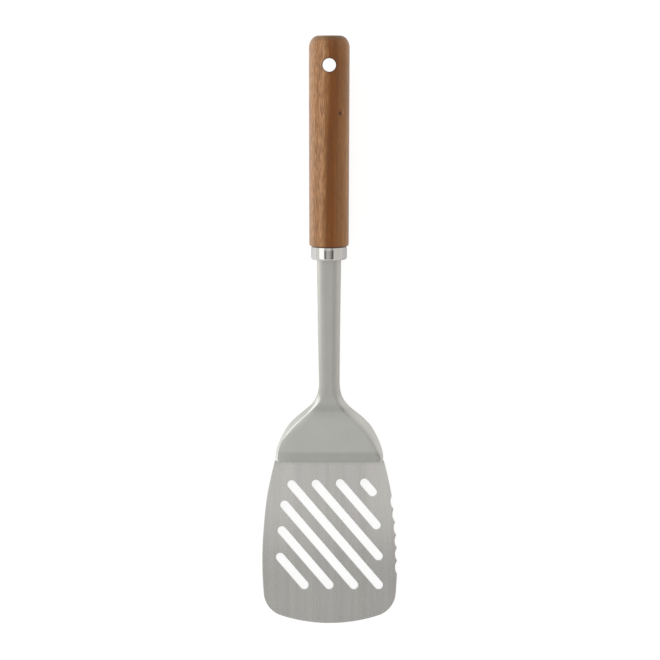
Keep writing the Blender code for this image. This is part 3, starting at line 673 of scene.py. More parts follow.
def blade_skin():
    """Rounded edges along every outline, with flat faces between the innermost loops."""
    blade = sizes("blade")
    distances, heights = edge_profile(blade.thick, blade.edge_round)
    skin = Skin()
    inner = []
    for loop in [blade_outline()] + slot_outlines():
        rings = inset(loop, distances)
        tall = np.broadcast_to(heights[:, None, None], rings.shape[:2] + (1,))
        skin.grid(np.concatenate([rings, tall], axis=2), around=True)
        inner.append(rings[0])
    skin.fill(inner, 0.0)
    skin.fill(inner, blade.thick)
    return skin


# Neck: a section carried along the bent spine


def bezier(start, start_pull, end_pull, end, points):
    """A cubic Bezier curve at evenly spaced shares."""
    s = np.linspace(0.0, 1.0, points)[:, None]
    start, start_pull, end_pull, end = (np.asarray(p, float) for p in (start, start_pull, end_pull, end))
    r = 1.0 - s
    return r**3 * start + 3.0 * r * r * s * start_pull + 3.0 * r * s * s * end_pull + s**3 * end


def half_width(along):
    """Half width by distance from the toe: rounded corner, flank of two Bezier curves, straight shaft."""
    fit, neck = sizes("fit"), sizes("neck")
    down = np.array([-cos(neck.knee_angle), sin(neck.knee_angle)])
    root = np.array([neck.root, neck.root_width / 2.0])
    knee = np.array([neck.knee, neck.knee_width])
    low = np.array([neck.toe_corner, neck.shoulder])
    upper = bezier(root, root - [neck.root_pull, 0.0], knee - down * neck.knee_pull_high, knee, 90)
    lower = bezier(knee, knee + down * neck.knee_pull_low, low + [neck.low_pull, 0.0], low, 90)
    flank = np.vstack([upper, lower[1:]])[::-1]
    along = np.asarray(along, float)
    width = np.interp(along, flank[:, 0], flank[:, 1])
    shaft = np.interp(along, [neck.root, fit.reach], [neck.root_width / 2.0, neck.end_width / 2.0])
    beyond = (along - fit.reach) * (neck.end_width - neck.root_width) / (fit.reach - neck.root) / 2.0
    width = np.where(along > neck.root, shaft + np.maximum(0.0, beyond), width)
    drop = np.maximum(0.0, neck.toe_corner - along)
    corner = neck.shoulder - neck.toe_corner + np.sqrt(np.maximum(0.0, neck.toe_corner**2 - drop**2))
    return np.where(along < neck.toe_corner, corner, width)


def middle_height(along):
    """Height of the neck's middle above its back: toe band, pan, arch, then the shaft."""
    fit, neck = sizes("fit"), sizes("neck")
    along = np.asarray(along, float)
    pan_slope = (neck.pan_head - neck.pan_foot) / (neck.pan_head_at - neck.band)
    band_slope = (neck.pan_foot - neck.toe_thick) / neck.band
    pan = neck.pan_foot + pan_slope * (along - neck.band)
    pan = pan - (band_slope - pan_slope) * ramp(neck.band - along, neck.band_rounding)
    arch = neck.pan_head + (neck.arch - neck.pan_head) * ease(along, neck.pan_head_at, neck.arch_at)
    shaft = np.interp(along, [neck.arch_at, fit.reach], [neck.arch, neck.shaft_end])
    return np.select([along <= neck.pan_head_at, along <= neck.arch_at], [pan, arch], shaft)


def edge_height(along):
    """Height of the bevel's outer edge above the back."""
    neck = sizes("neck")
    low = neck.toe_edge + (neck.flank_edge - neck.toe_edge) * ease(along, 0.0, 2.0 * neck.band)
    return low + (neck.shaft_edge - low) * ease(along, neck.dish_full, neck.shaft_rise)


def crease_line(along, width, left):
    """Half width of the crease: one Bezier curve beside the flank, then the shaft's edge less its bevel."""
    neck = sizes("neck")
    root = np.array([neck.crease_root, float(half_width(neck.crease_root)) - neck.shaft_bevel])
    low = np.array([neck.crease_toe, neck.crease_toe_width + (neck.crease_left if left else 0.0)])
    low_pull = low + neck.crease_toe_pull * np.array([1.0, -neck.crease_flare])
    curve = bezier(root, root - [neck.crease_root_pull, 0.0], low_pull, low, 120)[::-1]
    crease = np.minimum(np.interp(along, curve[:, 0], curve[:, 1]), width - neck.toe_bevel)
    return np.where(along >= neck.crease_root, width - neck.shaft_bevel, crease)


def ramp(distance, rounding):
    """A slope of 1 that starts at distance d = 0: (d + r) squared over 4 r within the rounding r, then d."""
    within = (np.clip(distance, -rounding, rounding) + rounding) ** 2 / (4.0 * rounding)
    return np.where(distance > rounding, distance, within)


def half_section(along, left=False):
    """Half of the neck's section for each distance: arrays of (across, height), from land to back.

    The land is flat. Beside it the dish falls with a slope that starts softly. At the crease the bevel's
    slope is added to it, so that the bevel ends at the edge's height. Then come a rounded edge, an upright
    wall, a rounded lower edge and the flat back.
    """
    neck = sizes("neck")
    along = np.asarray(along, float)[:, None]
    width = half_width(along)
    middle = middle_height(along)
    shoulder_share = 1.0 - ease(along, neck.dish_full, neck.shaft_rise)
    edge = edge_height(along) - (0.0 if left else neck.edge_drop) * (1.0 - shoulder_share)
    grown = np.clip(along / neck.dish_full, 0.0, 1.0) ** neck.dish_growth
    dish = (neck.dish_toe + (neck.dish - neck.dish_toe) * grown) * shoulder_share
    crease = crease_line(along, width, left)
    bevel = width - crease
    rounding = np.minimum(neck.crease_rounding * (1.0 if left else neck.right_softness), bevel)
    dish_rounding = np.maximum(dish * neck.dish_rounding, WELD)
    dish_line = crease - dish + dish_rounding
    dish_slope = (neck.dish_left if left else neck.dish_slope) * shoulder_share
    rest = middle - edge - dish_slope * ramp(width - dish_line, dish_rounding)
    bevel_slope = rest / ramp(bevel, rounding)
    start = crease - np.maximum(dish, rounding)
    end = width - np.minimum(neck.edge_round, bevel * 0.4)
    inner = start + (crease - rounding - start) * np.linspace(0.0, 1.0, 9)[None, :-1]
    bend_end = np.minimum(crease + rounding, end)
    bend = crease - rounding + (bend_end - crease + rounding) * np.linspace(0.0, 1.0, 13)[None, :]
    outer = bend_end + (end - bend_end) * np.linspace(0.0, 1.0, 5)[None, 1:]
    over = np.concatenate([inner, bend, outer], axis=1)
    fall = dish_slope * ramp(over - dish_line, dish_rounding) + bevel_slope * ramp(over - crease, rounding)
    land_share = np.array([0.0, 0.25, 0.5, 0.75, 0.92])[None, :]
    across = [land_share * start, over]
    height = [np.broadcast_to(middle, across[0].shape), middle - fall]
    angles = np.linspace(0.0, pi / 2.0, 5)[None, 1:]
    across.append(end + (width - end) * np.sin(angles))
    height.append(height[-1][:, -1:] - (width - end) * (1.0 - np.cos(angles)))
    low = neck.back_round
    angles = np.linspace(0.0, pi / 2.0, 5)[None, :]
    across.append(width - low * (1.0 - np.cos(angles)))
    height.append(np.broadcast_to(low * (1.0 - np.sin(angles)) + HAIR, across[-1].shape))
    across.append((width - low) * np.array([0.97, 0.5, 0.0])[None, :])
    height.append(np.full_like(across[-1], HAIR))
    return np.concatenate(across, axis=1), np.concatenate(height, axis=1)


def on_spine(along, across, height):
    """Carries sections, arrays of (across, height above the back), to their places on the spine."""
    y, z, pitch = (value[:, None] for value in spine(along))
    return np.stack([across, y - height * np.sin(pitch), z + height * np.cos(pitch)], axis=-1)


def whole(right, left):
    """Joins right and left half sections into closed rings, given as (across, height)."""
    ring_x = np.concatenate([right[0], -left[0][:, -2:0:-1]], axis=1)
    ring_z = np.concatenate([right[1], left[1][:, -2:0:-1]], axis=1)
    return ring_x, ring_z


def tang_half(along, points):
    """Right half of the tang's oblong section, spread over as many points as the shaft's section.

    Across and height are the cosine and the sine of even angles, each raised to TANG_POWER with its sign kept.
    """
    neck = sizes("neck")
    half_wide = neck.tang_width / 2.0
    half_thick = neck.tang_thick / 2.0
    angles = np.linspace(pi / 2.0, -pi / 2.0, points)[None, :]
    across = half_wide * np.sign(np.cos(angles)) * np.abs(np.cos(angles)) ** TANG_POWER
    height = neck.shaft_end / 2.0 + half_thick * np.sign(np.sin(angles)) * np.abs(np.sin(angles)) ** TANG_POWER
    across[:, 0] = 0.0
    across[:, -1] = 0.0
    rows = len(np.atleast_1d(along))
    return np.repeat(across, rows, axis=0), np.repeat(height, rows, axis=0)


def neck_stations():
    """Distances from the toe of the neck's rings, closest together at the toe, the band and the arch."""
    fit, neck = sizes("fit"), sizes("neck")
    toe = neck.toe_corner * quarter(12)[1]
    band = neck.band + neck.band_rounding * np.linspace(-1.0, 1.0, 9)
    shoulder = np.arange(neck.toe_corner, neck.root, RING_STEP)
    shaft = np.linspace(neck.root, fit.reach + shaft_end(), 24)
    marks = np.unique(np.round(np.concatenate([toe, band, shoulder, shaft]), 6))
    return marks[np.append(True, np.diff(marks) > RING_LEAST)]


def cap(ring):
    """Flat rings from a section to its middle, so that a loft's end is closed with quads."""
    middle = ring.mean(axis=0, keepdims=True)
    shares = np.array([0.0, 0.5, 1.0])[:, None, None]
    return ring[None] * (1.0 - shares) + middle[None] * shares


def neck_skin():
    """The loft of every section from the toe to the end of the tang, closed at both ends."""
    fit, neck = sizes("fit"), sizes("neck")
    along = neck_stations()
    across, height = whole(half_section(along), half_section(along, left=True))
    body = on_spine(along, across, height)
    half_points = half_section(along[-1:])[0].shape[1]
    marks = np.linspace(fit.reach + shaft_end(), fit.reach + neck.tang_depth, 5)
    tang_side = tang_half(marks, half_points)
    tang = on_spine(marks, *whole(tang_side, tang_side))
    skin = Skin()
    skin.grid(np.concatenate([body, tang]), around=True)
    skin.grid(cap(body[0]), around=True)
    skin.grid(cap(tang[-1]), around=True)
    return skin


def rebate_skin():
    """The cutter of the blade's seat: a full step at the toe and a pocket for the tab, with upright sides."""
    fit, blade = sizes("fit"), sizes("blade")
    gap = fit.gap
    reach = blade.half_width + gap
    tab = blade.tab_width / 2.0 + gap
    step = blade.length + gap
    end = step + blade.tab_length
    corner = blade.tab_corner
    right = arc((tab - corner, end - corner), corner, 0.0, pi / 2.0, 9)
    left = arc((corner - tab, end - corner), corner, pi / 2.0, pi, 9)
    front = toe_line() - reach
    low = [[-reach, front], [reach, front], [reach, step], [tab, step]]
    loop = np.vstack([low, right, left, [[-tab, step], [-reach, step]]])
    skin = Skin()
    skin.grid(np.stack([lift(loop, -blade.thick), lift(loop, blade.thick + gap)]), around=True)
    skin.fill([loop], -blade.thick)
    skin.fill([loop], blade.thick + gap)
    return skin


def cut_away(piece, cutter):
    """Takes a cutter's space out of a piece for good, and removes the cutter."""
    cut = piece.modifiers.new("seat", "BOOLEAN")
    cut.operation = "DIFFERENCE"
    cut.solver = "EXACT"
    cut.object = cutter
    bpy.context.view_layer.update()
    mesh = bpy.data.meshes.new_from_object(piece.evaluated_get(bpy.context.evaluated_depsgraph_get()))
    piece.modifiers.clear()
    old, piece.data = piece.data, mesh
    bpy.data.meshes.remove(old)
    bpy.data.objects.remove(cutter, do_unlink=True)
    mesh.name = piece.name


# Ferrule and handle


def ferrule_floor():
    """Place along the grip of the inner face of the ferrule's closed end."""
    fit, grip = sizes("fit"), sizes("grip")
    return -fit.gap - grip.ferrule_height + grip.ferrule_wall


def shaft_end():
    """Place along the grip where the shaft steps down to the tang."""
    return ferrule_floor() + sizes("grip").stub


def tenon_radius():
    """Radius of the handle's end inside the ferrule."""
    fit, grip = sizes("fit"), sizes("grip")
    return grip.ferrule_radius - grip.ferrule_wall - fit.gap


def slot_radius(angles):
    """Distance from the grip line to the ferrule's slot by direction: the shaft's section plus the gap."""
    fit, neck = sizes("fit"), sizes("neck")
    shaft_side = half_section(np.array([fit.reach + ferrule_floor()]))
    across, height = whole(shaft_side, shaft_side)
    x = across[0] * (1.0 + fit.gap / (neck.end_width / 2.0))
    z = (height[0] - neck.shaft_end / 2.0) * (1.0 + fit.gap / (neck.shaft_end / 2.0))
    facing = np.arctan2(x, z)
    order = np.argsort(facing)
    return np.interp(angles, facing[order], np.hypot(x, z)[order], period=2.0 * pi)


def revolved(radius, along, angles):
    """Rings about the grip line: radius in each direction at each place along it."""
    radius = np.broadcast_to(radius, (len(along), len(angles)))
    tall = np.broadcast_to(np.asarray(along)[:, None], radius.shape)
    return np.stack([radius * np.sin(angles), tall, radius * np.cos(angles)], axis=-1)


def ferrule_skin():
    """A drawn cup: slot, closed end, rounded corner, wall, rolled rim, and the same inside."""
    fit, grip = sizes("fit"), sizes("grip")
    angles = np.linspace(0.0, 2.0 * pi, 144, endpoint=False)
    angles = np.where(angles > pi, angles - 2.0 * pi, angles)
    outer = grip.ferrule_radius
    inner = outer - grip.ferrule_wall
    corner = grip.ferrule_corner
    bend_in = corner - grip.ferrule_wall
    closed = -fit.gap - grip.ferrule_height
    floor = ferrule_floor()
    rim = -fit.gap
    lip = (grip.ferrule_wall - grip.rim_fall) * 0.45
    slot = slot_radius(angles)
    radius = []
    along = []

    def ring(new_radius, new_along):
        radius.append(np.broadcast_to(new_radius, angles.shape))
        along.append(new_along)

    ring(slot, closed + 0.0001)
    eased = slot + SLOT_EASE
    ring(eased, closed)
    for part in (0.1, 0.5, 0.95, 1.0):
        ring(eased + (outer - corner - eased) * part, closed)
    for out, up in corner * quarter(13).T[1:]:
        ring(outer - out, closed + up)
    ring(outer, closed + corner + 0.0002)
    start = rim - grip.rim_length
    ring(outer, start - 0.0002)
    for part in np.linspace(0.0, 1.0, 8):
        ring(outer - grip.rim_fall * part**2, start + (grip.rim_length - lip) * part)
    for up, out in lip * quarter(6).T[1:]:
        ring(outer - grip.rim_fall - out, rim - up)
    ring(inner, rim)
    ring(inner, floor + bend_in)
    for up, out in bend_in * quarter(13).T[1:]:
        ring(inner - out, floor + up)
    ring(slot, floor)
    skin = Skin()
    skin.grid(revolved(np.array(radius), np.array(along), angles), around=True, along=True)
    return skin


def handle_radius(along):
    """Radius of the handle: rounded shoulder edge, straight taper, and a quarter of an ellipse at the top."""
    grip = sizes("grip")
    along = np.asarray(along, float)
    radius = np.interp(along, [0.0, grip.handle_length], [grip.low_radius, grip.top_radius])
    low = np.clip((grip.low_ease - along) / grip.low_ease, 0.0, 1.0)
    radius = radius - grip.low_ease * (1.0 - np.sqrt(1.0 - low**2))
    crown = np.clip((along - grip.handle_length + grip.crown_length) / grip.crown_length, 0.0, 1.0)
    return radius - grip.crown_depth * (1.0 - np.sqrt(1.0 - crown**2))


def hole_patch(face, rows, columns):
    """The handle's surface between the hole's rim and the four sides of a patch, as rings.

    Each ring lies a share of the way from the rim's circle to the patch's sides in the plane across the
    hole, and is then carried to the turned surface. face is 1 for the front and -1 for the back.
    """
    grip = sizes("grip")
    centre = grip.handle_length - grip.hole_from_top
    sides, ends = np.ones(len(rows) - 2), np.ones(len(columns))
    turned = np.concatenate([columns, columns[-1] * sides, columns[::-1], columns[0] * sides])
    y = np.concatenate([rows[0] * ends, rows[1:-1], rows[-1] * ends, rows[-2:0:-1]])
    side = np.stack([handle_radius(y) * np.sin(turned), y], axis=1)
    facing = np.arctan2(side[:, 1] - centre, side[:, 0])
    rim = grip.hole / 2.0 + grip.hole_round
    circle = np.stack([rim * np.cos(facing), centre + rim * np.sin(facing)], axis=1)
    shares = np.array([0.0, 0.02, 0.06, 0.12, 0.2, 0.3, 0.42, 0.55, 0.7, 0.85, 1.0])[:, None, None]
    flat = circle[None] * (1.0 - shares) + side[None] * shares
    depth = np.sqrt(handle_radius(flat[..., 1]) ** 2 - flat[..., 0] ** 2) * face
    return np.stack([flat[..., 0], flat[..., 1], depth], axis=-1), facing


def hole_wall(facing):
    """The hole's wall from its front rim to its back rim, with both rims rounded by a quarter circle."""
    grip = sizes("grip")
    centre = grip.handle_length - grip.hole_from_top
    reach, sunk = grip.hole_round * quarter(7)[:, :, None]
    x = (grip.hole / 2.0 + reach) * np.cos(facing)
    y = centre + (grip.hole / 2.0 + reach) * np.sin(facing)
    front = np.sqrt(handle_radius(y) ** 2 - x**2) - sunk
    shares = np.linspace(1.0, -1.0, 12)[1:-1, None]
    wall_x = np.broadcast_to(x[-1], (len(shares), len(facing)))
    wall_y = np.broadcast_to(y[-1], (len(shares), len(facing)))
    wall = np.stack([wall_x, wall_y, front[-1] * shares], axis=-1)
    near = np.stack([x, y, front], axis=-1)
    far = np.stack([x, y, -front], axis=-1)[::-1]
    return np.concatenate([near, wall, far])


def handle_skin():
    """The turned grip with its hole, tenon and bore, from bands of rings and two patches at the hole."""
    fit, grip = sizes("fit"), sizes("grip")
    centre = grip.handle_length - grip.hole_from_top
    half = grip.hole * PATCH_SHARE
    patch_angle = float(np.arcsin(half / handle_radius(centre)))
    front = np.linspace(-patch_angle, patch_angle, 17)
    right = np.linspace(patch_angle, pi - patch_angle, 31)
    back = front + pi
    left = right + pi
    angles = np.concatenate([front, right[1:-1], back, left[1:-1]])
    rows = np.linspace(centre - half, centre + half, 17)
    top = grip.handle_length
    crown_start = top - grip.crown_length
    crown = top - grip.crown_length * quarter(22)[0, 1:-1]
    upper = np.concatenate([np.linspace(rows[-1], crown_start, 5), crown, [top]])
    radius = np.append(handle_radius(upper), handle_radius(top) * np.array([0.9, 0.5, 0.0]))
    skin = Skin()
    skin.grid(revolved(radius[:, None], np.append(upper, np.full(3, top)), angles), around=True)
    for band in (right, left):
        skin.grid(revolved(handle_radius(rows)[:, None], rows, band))
    for face in (1, -1):
        patch, facing = hole_patch(face, rows, front)
        skin.grid(patch, around=True)
    skin.grid(hole_wall(facing), around=True)
    tenon = tenon_radius()
    tenon_end = shaft_end() + fit.gap
    ease_radius = grip.ferrule_corner - grip.ferrule_wall
    bore = grip.bore / 2.0
    straight = np.linspace(rows[0], grip.low_ease, 30)
    low_rows, low_fall = grip.low_ease * quarter(14)[:, 1:]
    end_rows, end_fall = ease_radius * quarter(7)[:, 1:]
    lower = np.concatenate([
        straight,
        low_rows,
        [0.0, 0.0, tenon_end + ease_radius],
        tenon_end + end_rows,
        [tenon_end, tenon_end + 0.0003, grip.bore_depth, grip.bore_depth, grip.bore_depth],
    ])
    radius = np.concatenate([
        handle_radius(straight),
        grip.low_radius - low_fall,
        [tenon + 0.0001, tenon, tenon],
        tenon - end_fall,
        [bore, bore, bore, bore * 0.5, 0.0],
    ])
    skin.grid(revolved(radius[:, None], lower, angles), around=True)
    return skin


# Finishes


class Nodes:
    """A small helper that adds and links the nodes of a new material or world."""

    def __init__(self, name, kind="materials"):
        self.block = getattr(bpy.data, kind).new(name)
        self.block.use_nodes = True
        self.tree = self.block.node_tree

    def add(self, kind, inputs=None, **values):
        """A node with its properties set and its inputs linked or filled."""
        node = self.tree.nodes.new(kind)
        for key, value in values.items():
            setattr(node, key, value)
        for key, value in (inputs or {}).items():
            entry = node.inputs[key]
            if isinstance(value, bpy.types.NodeSocket):
                self.tree.links.new(value, entry)
            elif entry.type == "RGBA":
                entry.default_value = (*value[:3], 1.0)
            else:
                entry.default_value = value
        return node

    def into(self, **sockets):
        """Links sockets into the shader, named with underscores for spaces."""
        shader = self.tree.nodes["Principled BSDF"]
        for key, socket in sockets.items():
            self.tree.links.new(socket, shader.inputs[key.replace("_", " ")])

    def constant(self, **values):
        """Sets constants on the shader's own sockets, named with underscores for spaces."""
        shader = self.tree.nodes["Principled BSDF"]
        for key, value in values.items():
            shader.inputs[key.replace("_", " ")].default_value = value

    def surface(self, socket):
        """Ends the material in a socket instead of the shader."""
        self.tree.links.new(socket, self.tree.nodes["Material Output"].inputs["Surface"])

    def local(self, matrix):
        """Object coordinates turned into a frame of the turner, in millimetres."""
        back = matrix.inverted()
        inputs = {
            "Vector": self.add("ShaderNodeTexCoord").outputs["Object"],
            "Scale": (MM, MM, MM),
            "Rotation": back.to_euler(),
            "Location": back.translation * MM,
        }
        return self.add("ShaderNodeMapping", inputs, vector_type="POINT").outputs["Vector"]

    def axes(self, place):
        """The three parts of a place, by the names X, Y and Z."""
        return self.add("ShaderNodeSeparateXYZ", {"Vector": place}).outputs

    def noise(self, place, scale, offset=(0.0, 0.0, 0.0), detail=2.0, roughness=0.5, distortion=0.0):
        """Noise from 0 to 1 over a place: scale is the pattern's turns per millimetre in each direction."""
        stretched = self.add("ShaderNodeMapping", {"Vector": place, "Scale": scale, "Location": offset})
        inputs = {
            "Vector": stretched.outputs["Vector"],
            "Scale": 1.0,
            "Detail": detail,
            "Roughness": roughness,
            "Distortion": distortion,
        }
        return self.add("ShaderNodeTexNoise", inputs).outputs["Fac"]

    def noises(self, place, table):
        """The noises of a table, by their names."""
        return {name: self.noise(place, *row) for name, row in table.items()}

    def math(self, kind, *values):
        """One step of arithmetic."""
        return self.add("ShaderNodeMath", dict(enumerate(values)), operation=kind).outputs[0]

    def chain(self, kind, values):
        """The same step of arithmetic from the first value to the last."""
        result = values[0]
        for value in values[1:]:
            result = self.math(kind, result, value)
        return result

    def times(self, *values):
        """The product of values."""
        return self.chain("MULTIPLY", values)

    def plus(self, *values):
        """The sum of values."""
        return self.chain("ADD", values)

    def less(self, first, second):
        """The first value minus the second."""
        return self.math("SUBTRACT", first, second)

    def wave(self, noise, size):
        """A noise carried to either side of 0: the noise less a half, times a size."""
        return self.times(self.less(noise, 0.5), size)

    def span(self, value, low, high, to_low=0.0, to_high=1.0, smooth=False):
        """A value carried from one range to another and kept inside it."""
        inputs = {"Value": value, "From Min": low, "From Max": high, "To Min": to_low, "To Max": to_high}
        kind = "SMOOTHSTEP" if smooth else "LINEAR"
        return self.add("ShaderNodeMapRange", inputs, clamp=True, interpolation_type=kind).outputs["Result"]

    def vary(self, noise, low, high):
        """A level that follows the middle part of a noise from low to high."""
        return self.span(noise, 0.3, 0.7, low, high)

    def ramp(self, value, stops):
        """A colour ramp with stops (place, colour)."""
        node = self.add("ShaderNodeValToRGB", {"Fac": value})
        elements = node.color_ramp.elements
        while len(elements) < len(stops):
            elements.new(0.5)
        for element, (place, tone) in zip(elements, stops):
            element.position = place
            element.color = (*tone, 1.0)
        return node.outputs["Color"]

    def profile(self, value, stops):
        """A level of 0 or more that follows stops (value, level), straight between them."""
        low, high = stops[0][0], stops[-1][0]
        part = self.span(value, low, high)
        return self.ramp(part, [((at - low) / (high - low), (level, level, level)) for at, level in stops])

    def between(self, factor, first, second):
        """A level that goes from the first to the second with a factor."""
        return self.add("ShaderNodeMix", {0: factor, 2: first, 3: second}, data_type="FLOAT").outputs[0]

    def blend(self, factor, first, second, kind="MIX"):
        """Two colours mixed by a factor."""
        inputs = {0: factor, 6: first, 7: second}
        node = self.add("ShaderNodeMix", inputs, data_type="RGBA", blend_type=kind, clamp_factor=True)
        return node.outputs[2]

    def vector(self, kind, inputs, result="Vector"):
        """One step of arithmetic on vectors."""
        return self.add("ShaderNodeVectorMath", inputs, operation=kind).outputs[result]

    def shade(self, tone, factor):
        """A colour made lighter or darker by a factor."""
        return self.vector("SCALE", {0: tone, "Scale": factor})

    def moved(self, place, centre, stretch):
        """The place less a centre, times a stretch in each direction."""
        return self.vector("MULTIPLY", {0: self.vector("SUBTRACT", {0: place, 1: centre}), 1: stretch})

    def size(self, vector):
        """The length of a vector."""
        return self.vector("LENGTH", {0: vector}, "Value")

    def bump(self, height, distance):
        """A bumped normal from a height between 0 and 1, worth a distance in metres."""
        node = self.add("ShaderNodeBump", {"Height": height, "Distance": distance})
        self.into(Normal=node.outputs["Normal"])


# Noises by name: turns per mm across, along and deep, then offset, detail, roughness and distortion
WOOD_NOISE = {
    "waver": ((0.10, 0.018, 0.10), (3.1, 0.4, 7.7)),
    "ragged": ((0.9, 0.06, 0.9), (1.0, 5.0, 2.0), 3.0),
    "rings": ((0.55, 0.014, 0.55), (8.0, 1.0, 3.0), 2.0, 0.6, 0.3),
    "fibres": ((1.9, 0.06, 1.9), (2.0, 9.0, 4.0), 3.0, 0.6),
    "dashes": ((1.7, 0.20, 1.7), (6.0, 2.0, 1.0), 2.0, 0.55),
    "patches": ((0.25, 0.05, 0.25), (4.0, 2.0, 9.0)),
    "pores": ((3.6, 0.30, 3.6), (1.0, 3.0, 8.0), 1.0),
}
FERRULE_NOISE = {
    "lines": ((0.05, 14.0, 0.05),),
    "smudge": ((0.30, 0.30, 0.30), (5.0, 1.0, 2.0), 3.0),
}
NECK_NOISE = {
    "grain": ((7.0, 7.0, 7.0),),
    "cloud": ((0.12, 0.07, 0.12), (2.0, 8.0, 1.0), 3.0),
}
BLADE_NOISE = {
    "lines": ((4.0, 0.035, 1.0), (0.0, 0.0, 0.0), 3.0, 0.6),
    "streaks": ((0.22, 0.006, 0.2), (3.0, 1.0, 0.0), 3.0, 0.45),
    "tints": ((0.14, 0.02, 0.1), (7.0, 5.0, 0.0), 1.0),
    "strokes": ((1.5, 0.10, 1.0), (9.0, 4.0, 0.0), 1.0),
}
RESIN_NOISE = {"cloud": ((0.4, 0.4, 0.4), (0.0, 0.0, 0.0), 3.0)}

# The wood's tones by distance from the heart's edge, as shares of the range from -HEART_REACH to HEART_REACH
HEART_REACH = 12.0
HEART_TONES = [
    (0.0, "light"), (0.36, "light"), (0.46, "mid"), (0.51, "dark"),
    (0.66, "dark"), (0.84, "mid"), (1.0, "light"),
]

# Wood, in mm: from where to where a change goes. The knot's place is in the grip frame, the swirl's is from it.
LIGHT_SIDE = (-1.5, 1.0)
KNOT_PLACE = (6.4, 78.6, 10.0)
KNOT_STRETCH = (1.0, 0.8, 1.0)
KNOT_SHADOW = (0.9, 2.8)
KNOT_EYE = (0.55, 1.35)
SWIRL_PLACE = (1.6, 0.2, 0.0)
SWIRL_STRETCH = (1.0, 0.45, 0.3)
SWIRL_EDGE = (0.2, 1.0)
# painted shade of the hanging hole, from its rim outwards, with a little darker end grain at the rim
HOLE_SHADE = (0.1, 0.8)
END_GRAIN = (4.0, 1.0)
# painted shade at the handle's lower edge, up from the ferrule
LOW_EDGE_SHADE = (0.0, 1.3)

# Neck and blade, in mm: from where to where a change goes, across, along or from a line
SHAFT_TONE = (30.0, 42.0)
BAND_FADE = (-29.0, -22.0)
BAND_FACE = (0.9, 1.2)
# painted shade along the toe's edge, where it steps down onto the blade
TOE_LINE = (0.2, 1.2)
BAND_LINE_BELOW = 1.2
BAND_LINE = (0.0, 0.9)
# painted sheen beside the shoulder, brighter towards the blade's sides
SIDE_SHEEN = (8.0, 34.0)
SIDE_SHEEN_ALONG = (25.0, 75.0)
# painted shade on the blade's lower right
LOW_RIGHT_SHADE = (10.0, 34.0)
LOW_RIGHT_SHADE_ALONG = (62.0, 45.0)
TOE_SHADE = (-2.2, -0.1)

# Bump heights in metres
WOOD_BUMP = 0.00008
FERRULE_BUMP = 0.0000015
NECK_BUMP = 0.000004
BLADE_BUMP = 0.0000013
RESIN_BUMP = 0.00003


def knot_tone(nodes, tone, place, ragged):
    """A small knot: a soft shadow, a light swirl beside it and a dark eye, each by its distance in mm."""
    finish = sizes("finish")
    from_knot = nodes.moved(place, KNOT_PLACE, KNOT_STRETCH)
    away = nodes.plus(nodes.size(from_knot), nodes.wave(ragged, 0.9))
    tone = nodes.blend(nodes.span(away, *KNOT_SHADOW, 0.45, 0.0, smooth=True), tone, finish.wood_dark)
    swirl = nodes.size(nodes.moved(from_knot, SWIRL_PLACE, SWIRL_STRETCH))
    tone = nodes.blend(nodes.span(swirl, *SWIRL_EDGE, 0.65, 0.0, smooth=True), tone, finish.wood_light)
    return nodes.blend(nodes.span(away, *KNOT_EYE, 0.95, 0.0, smooth=True), tone, finish.wood_pore)


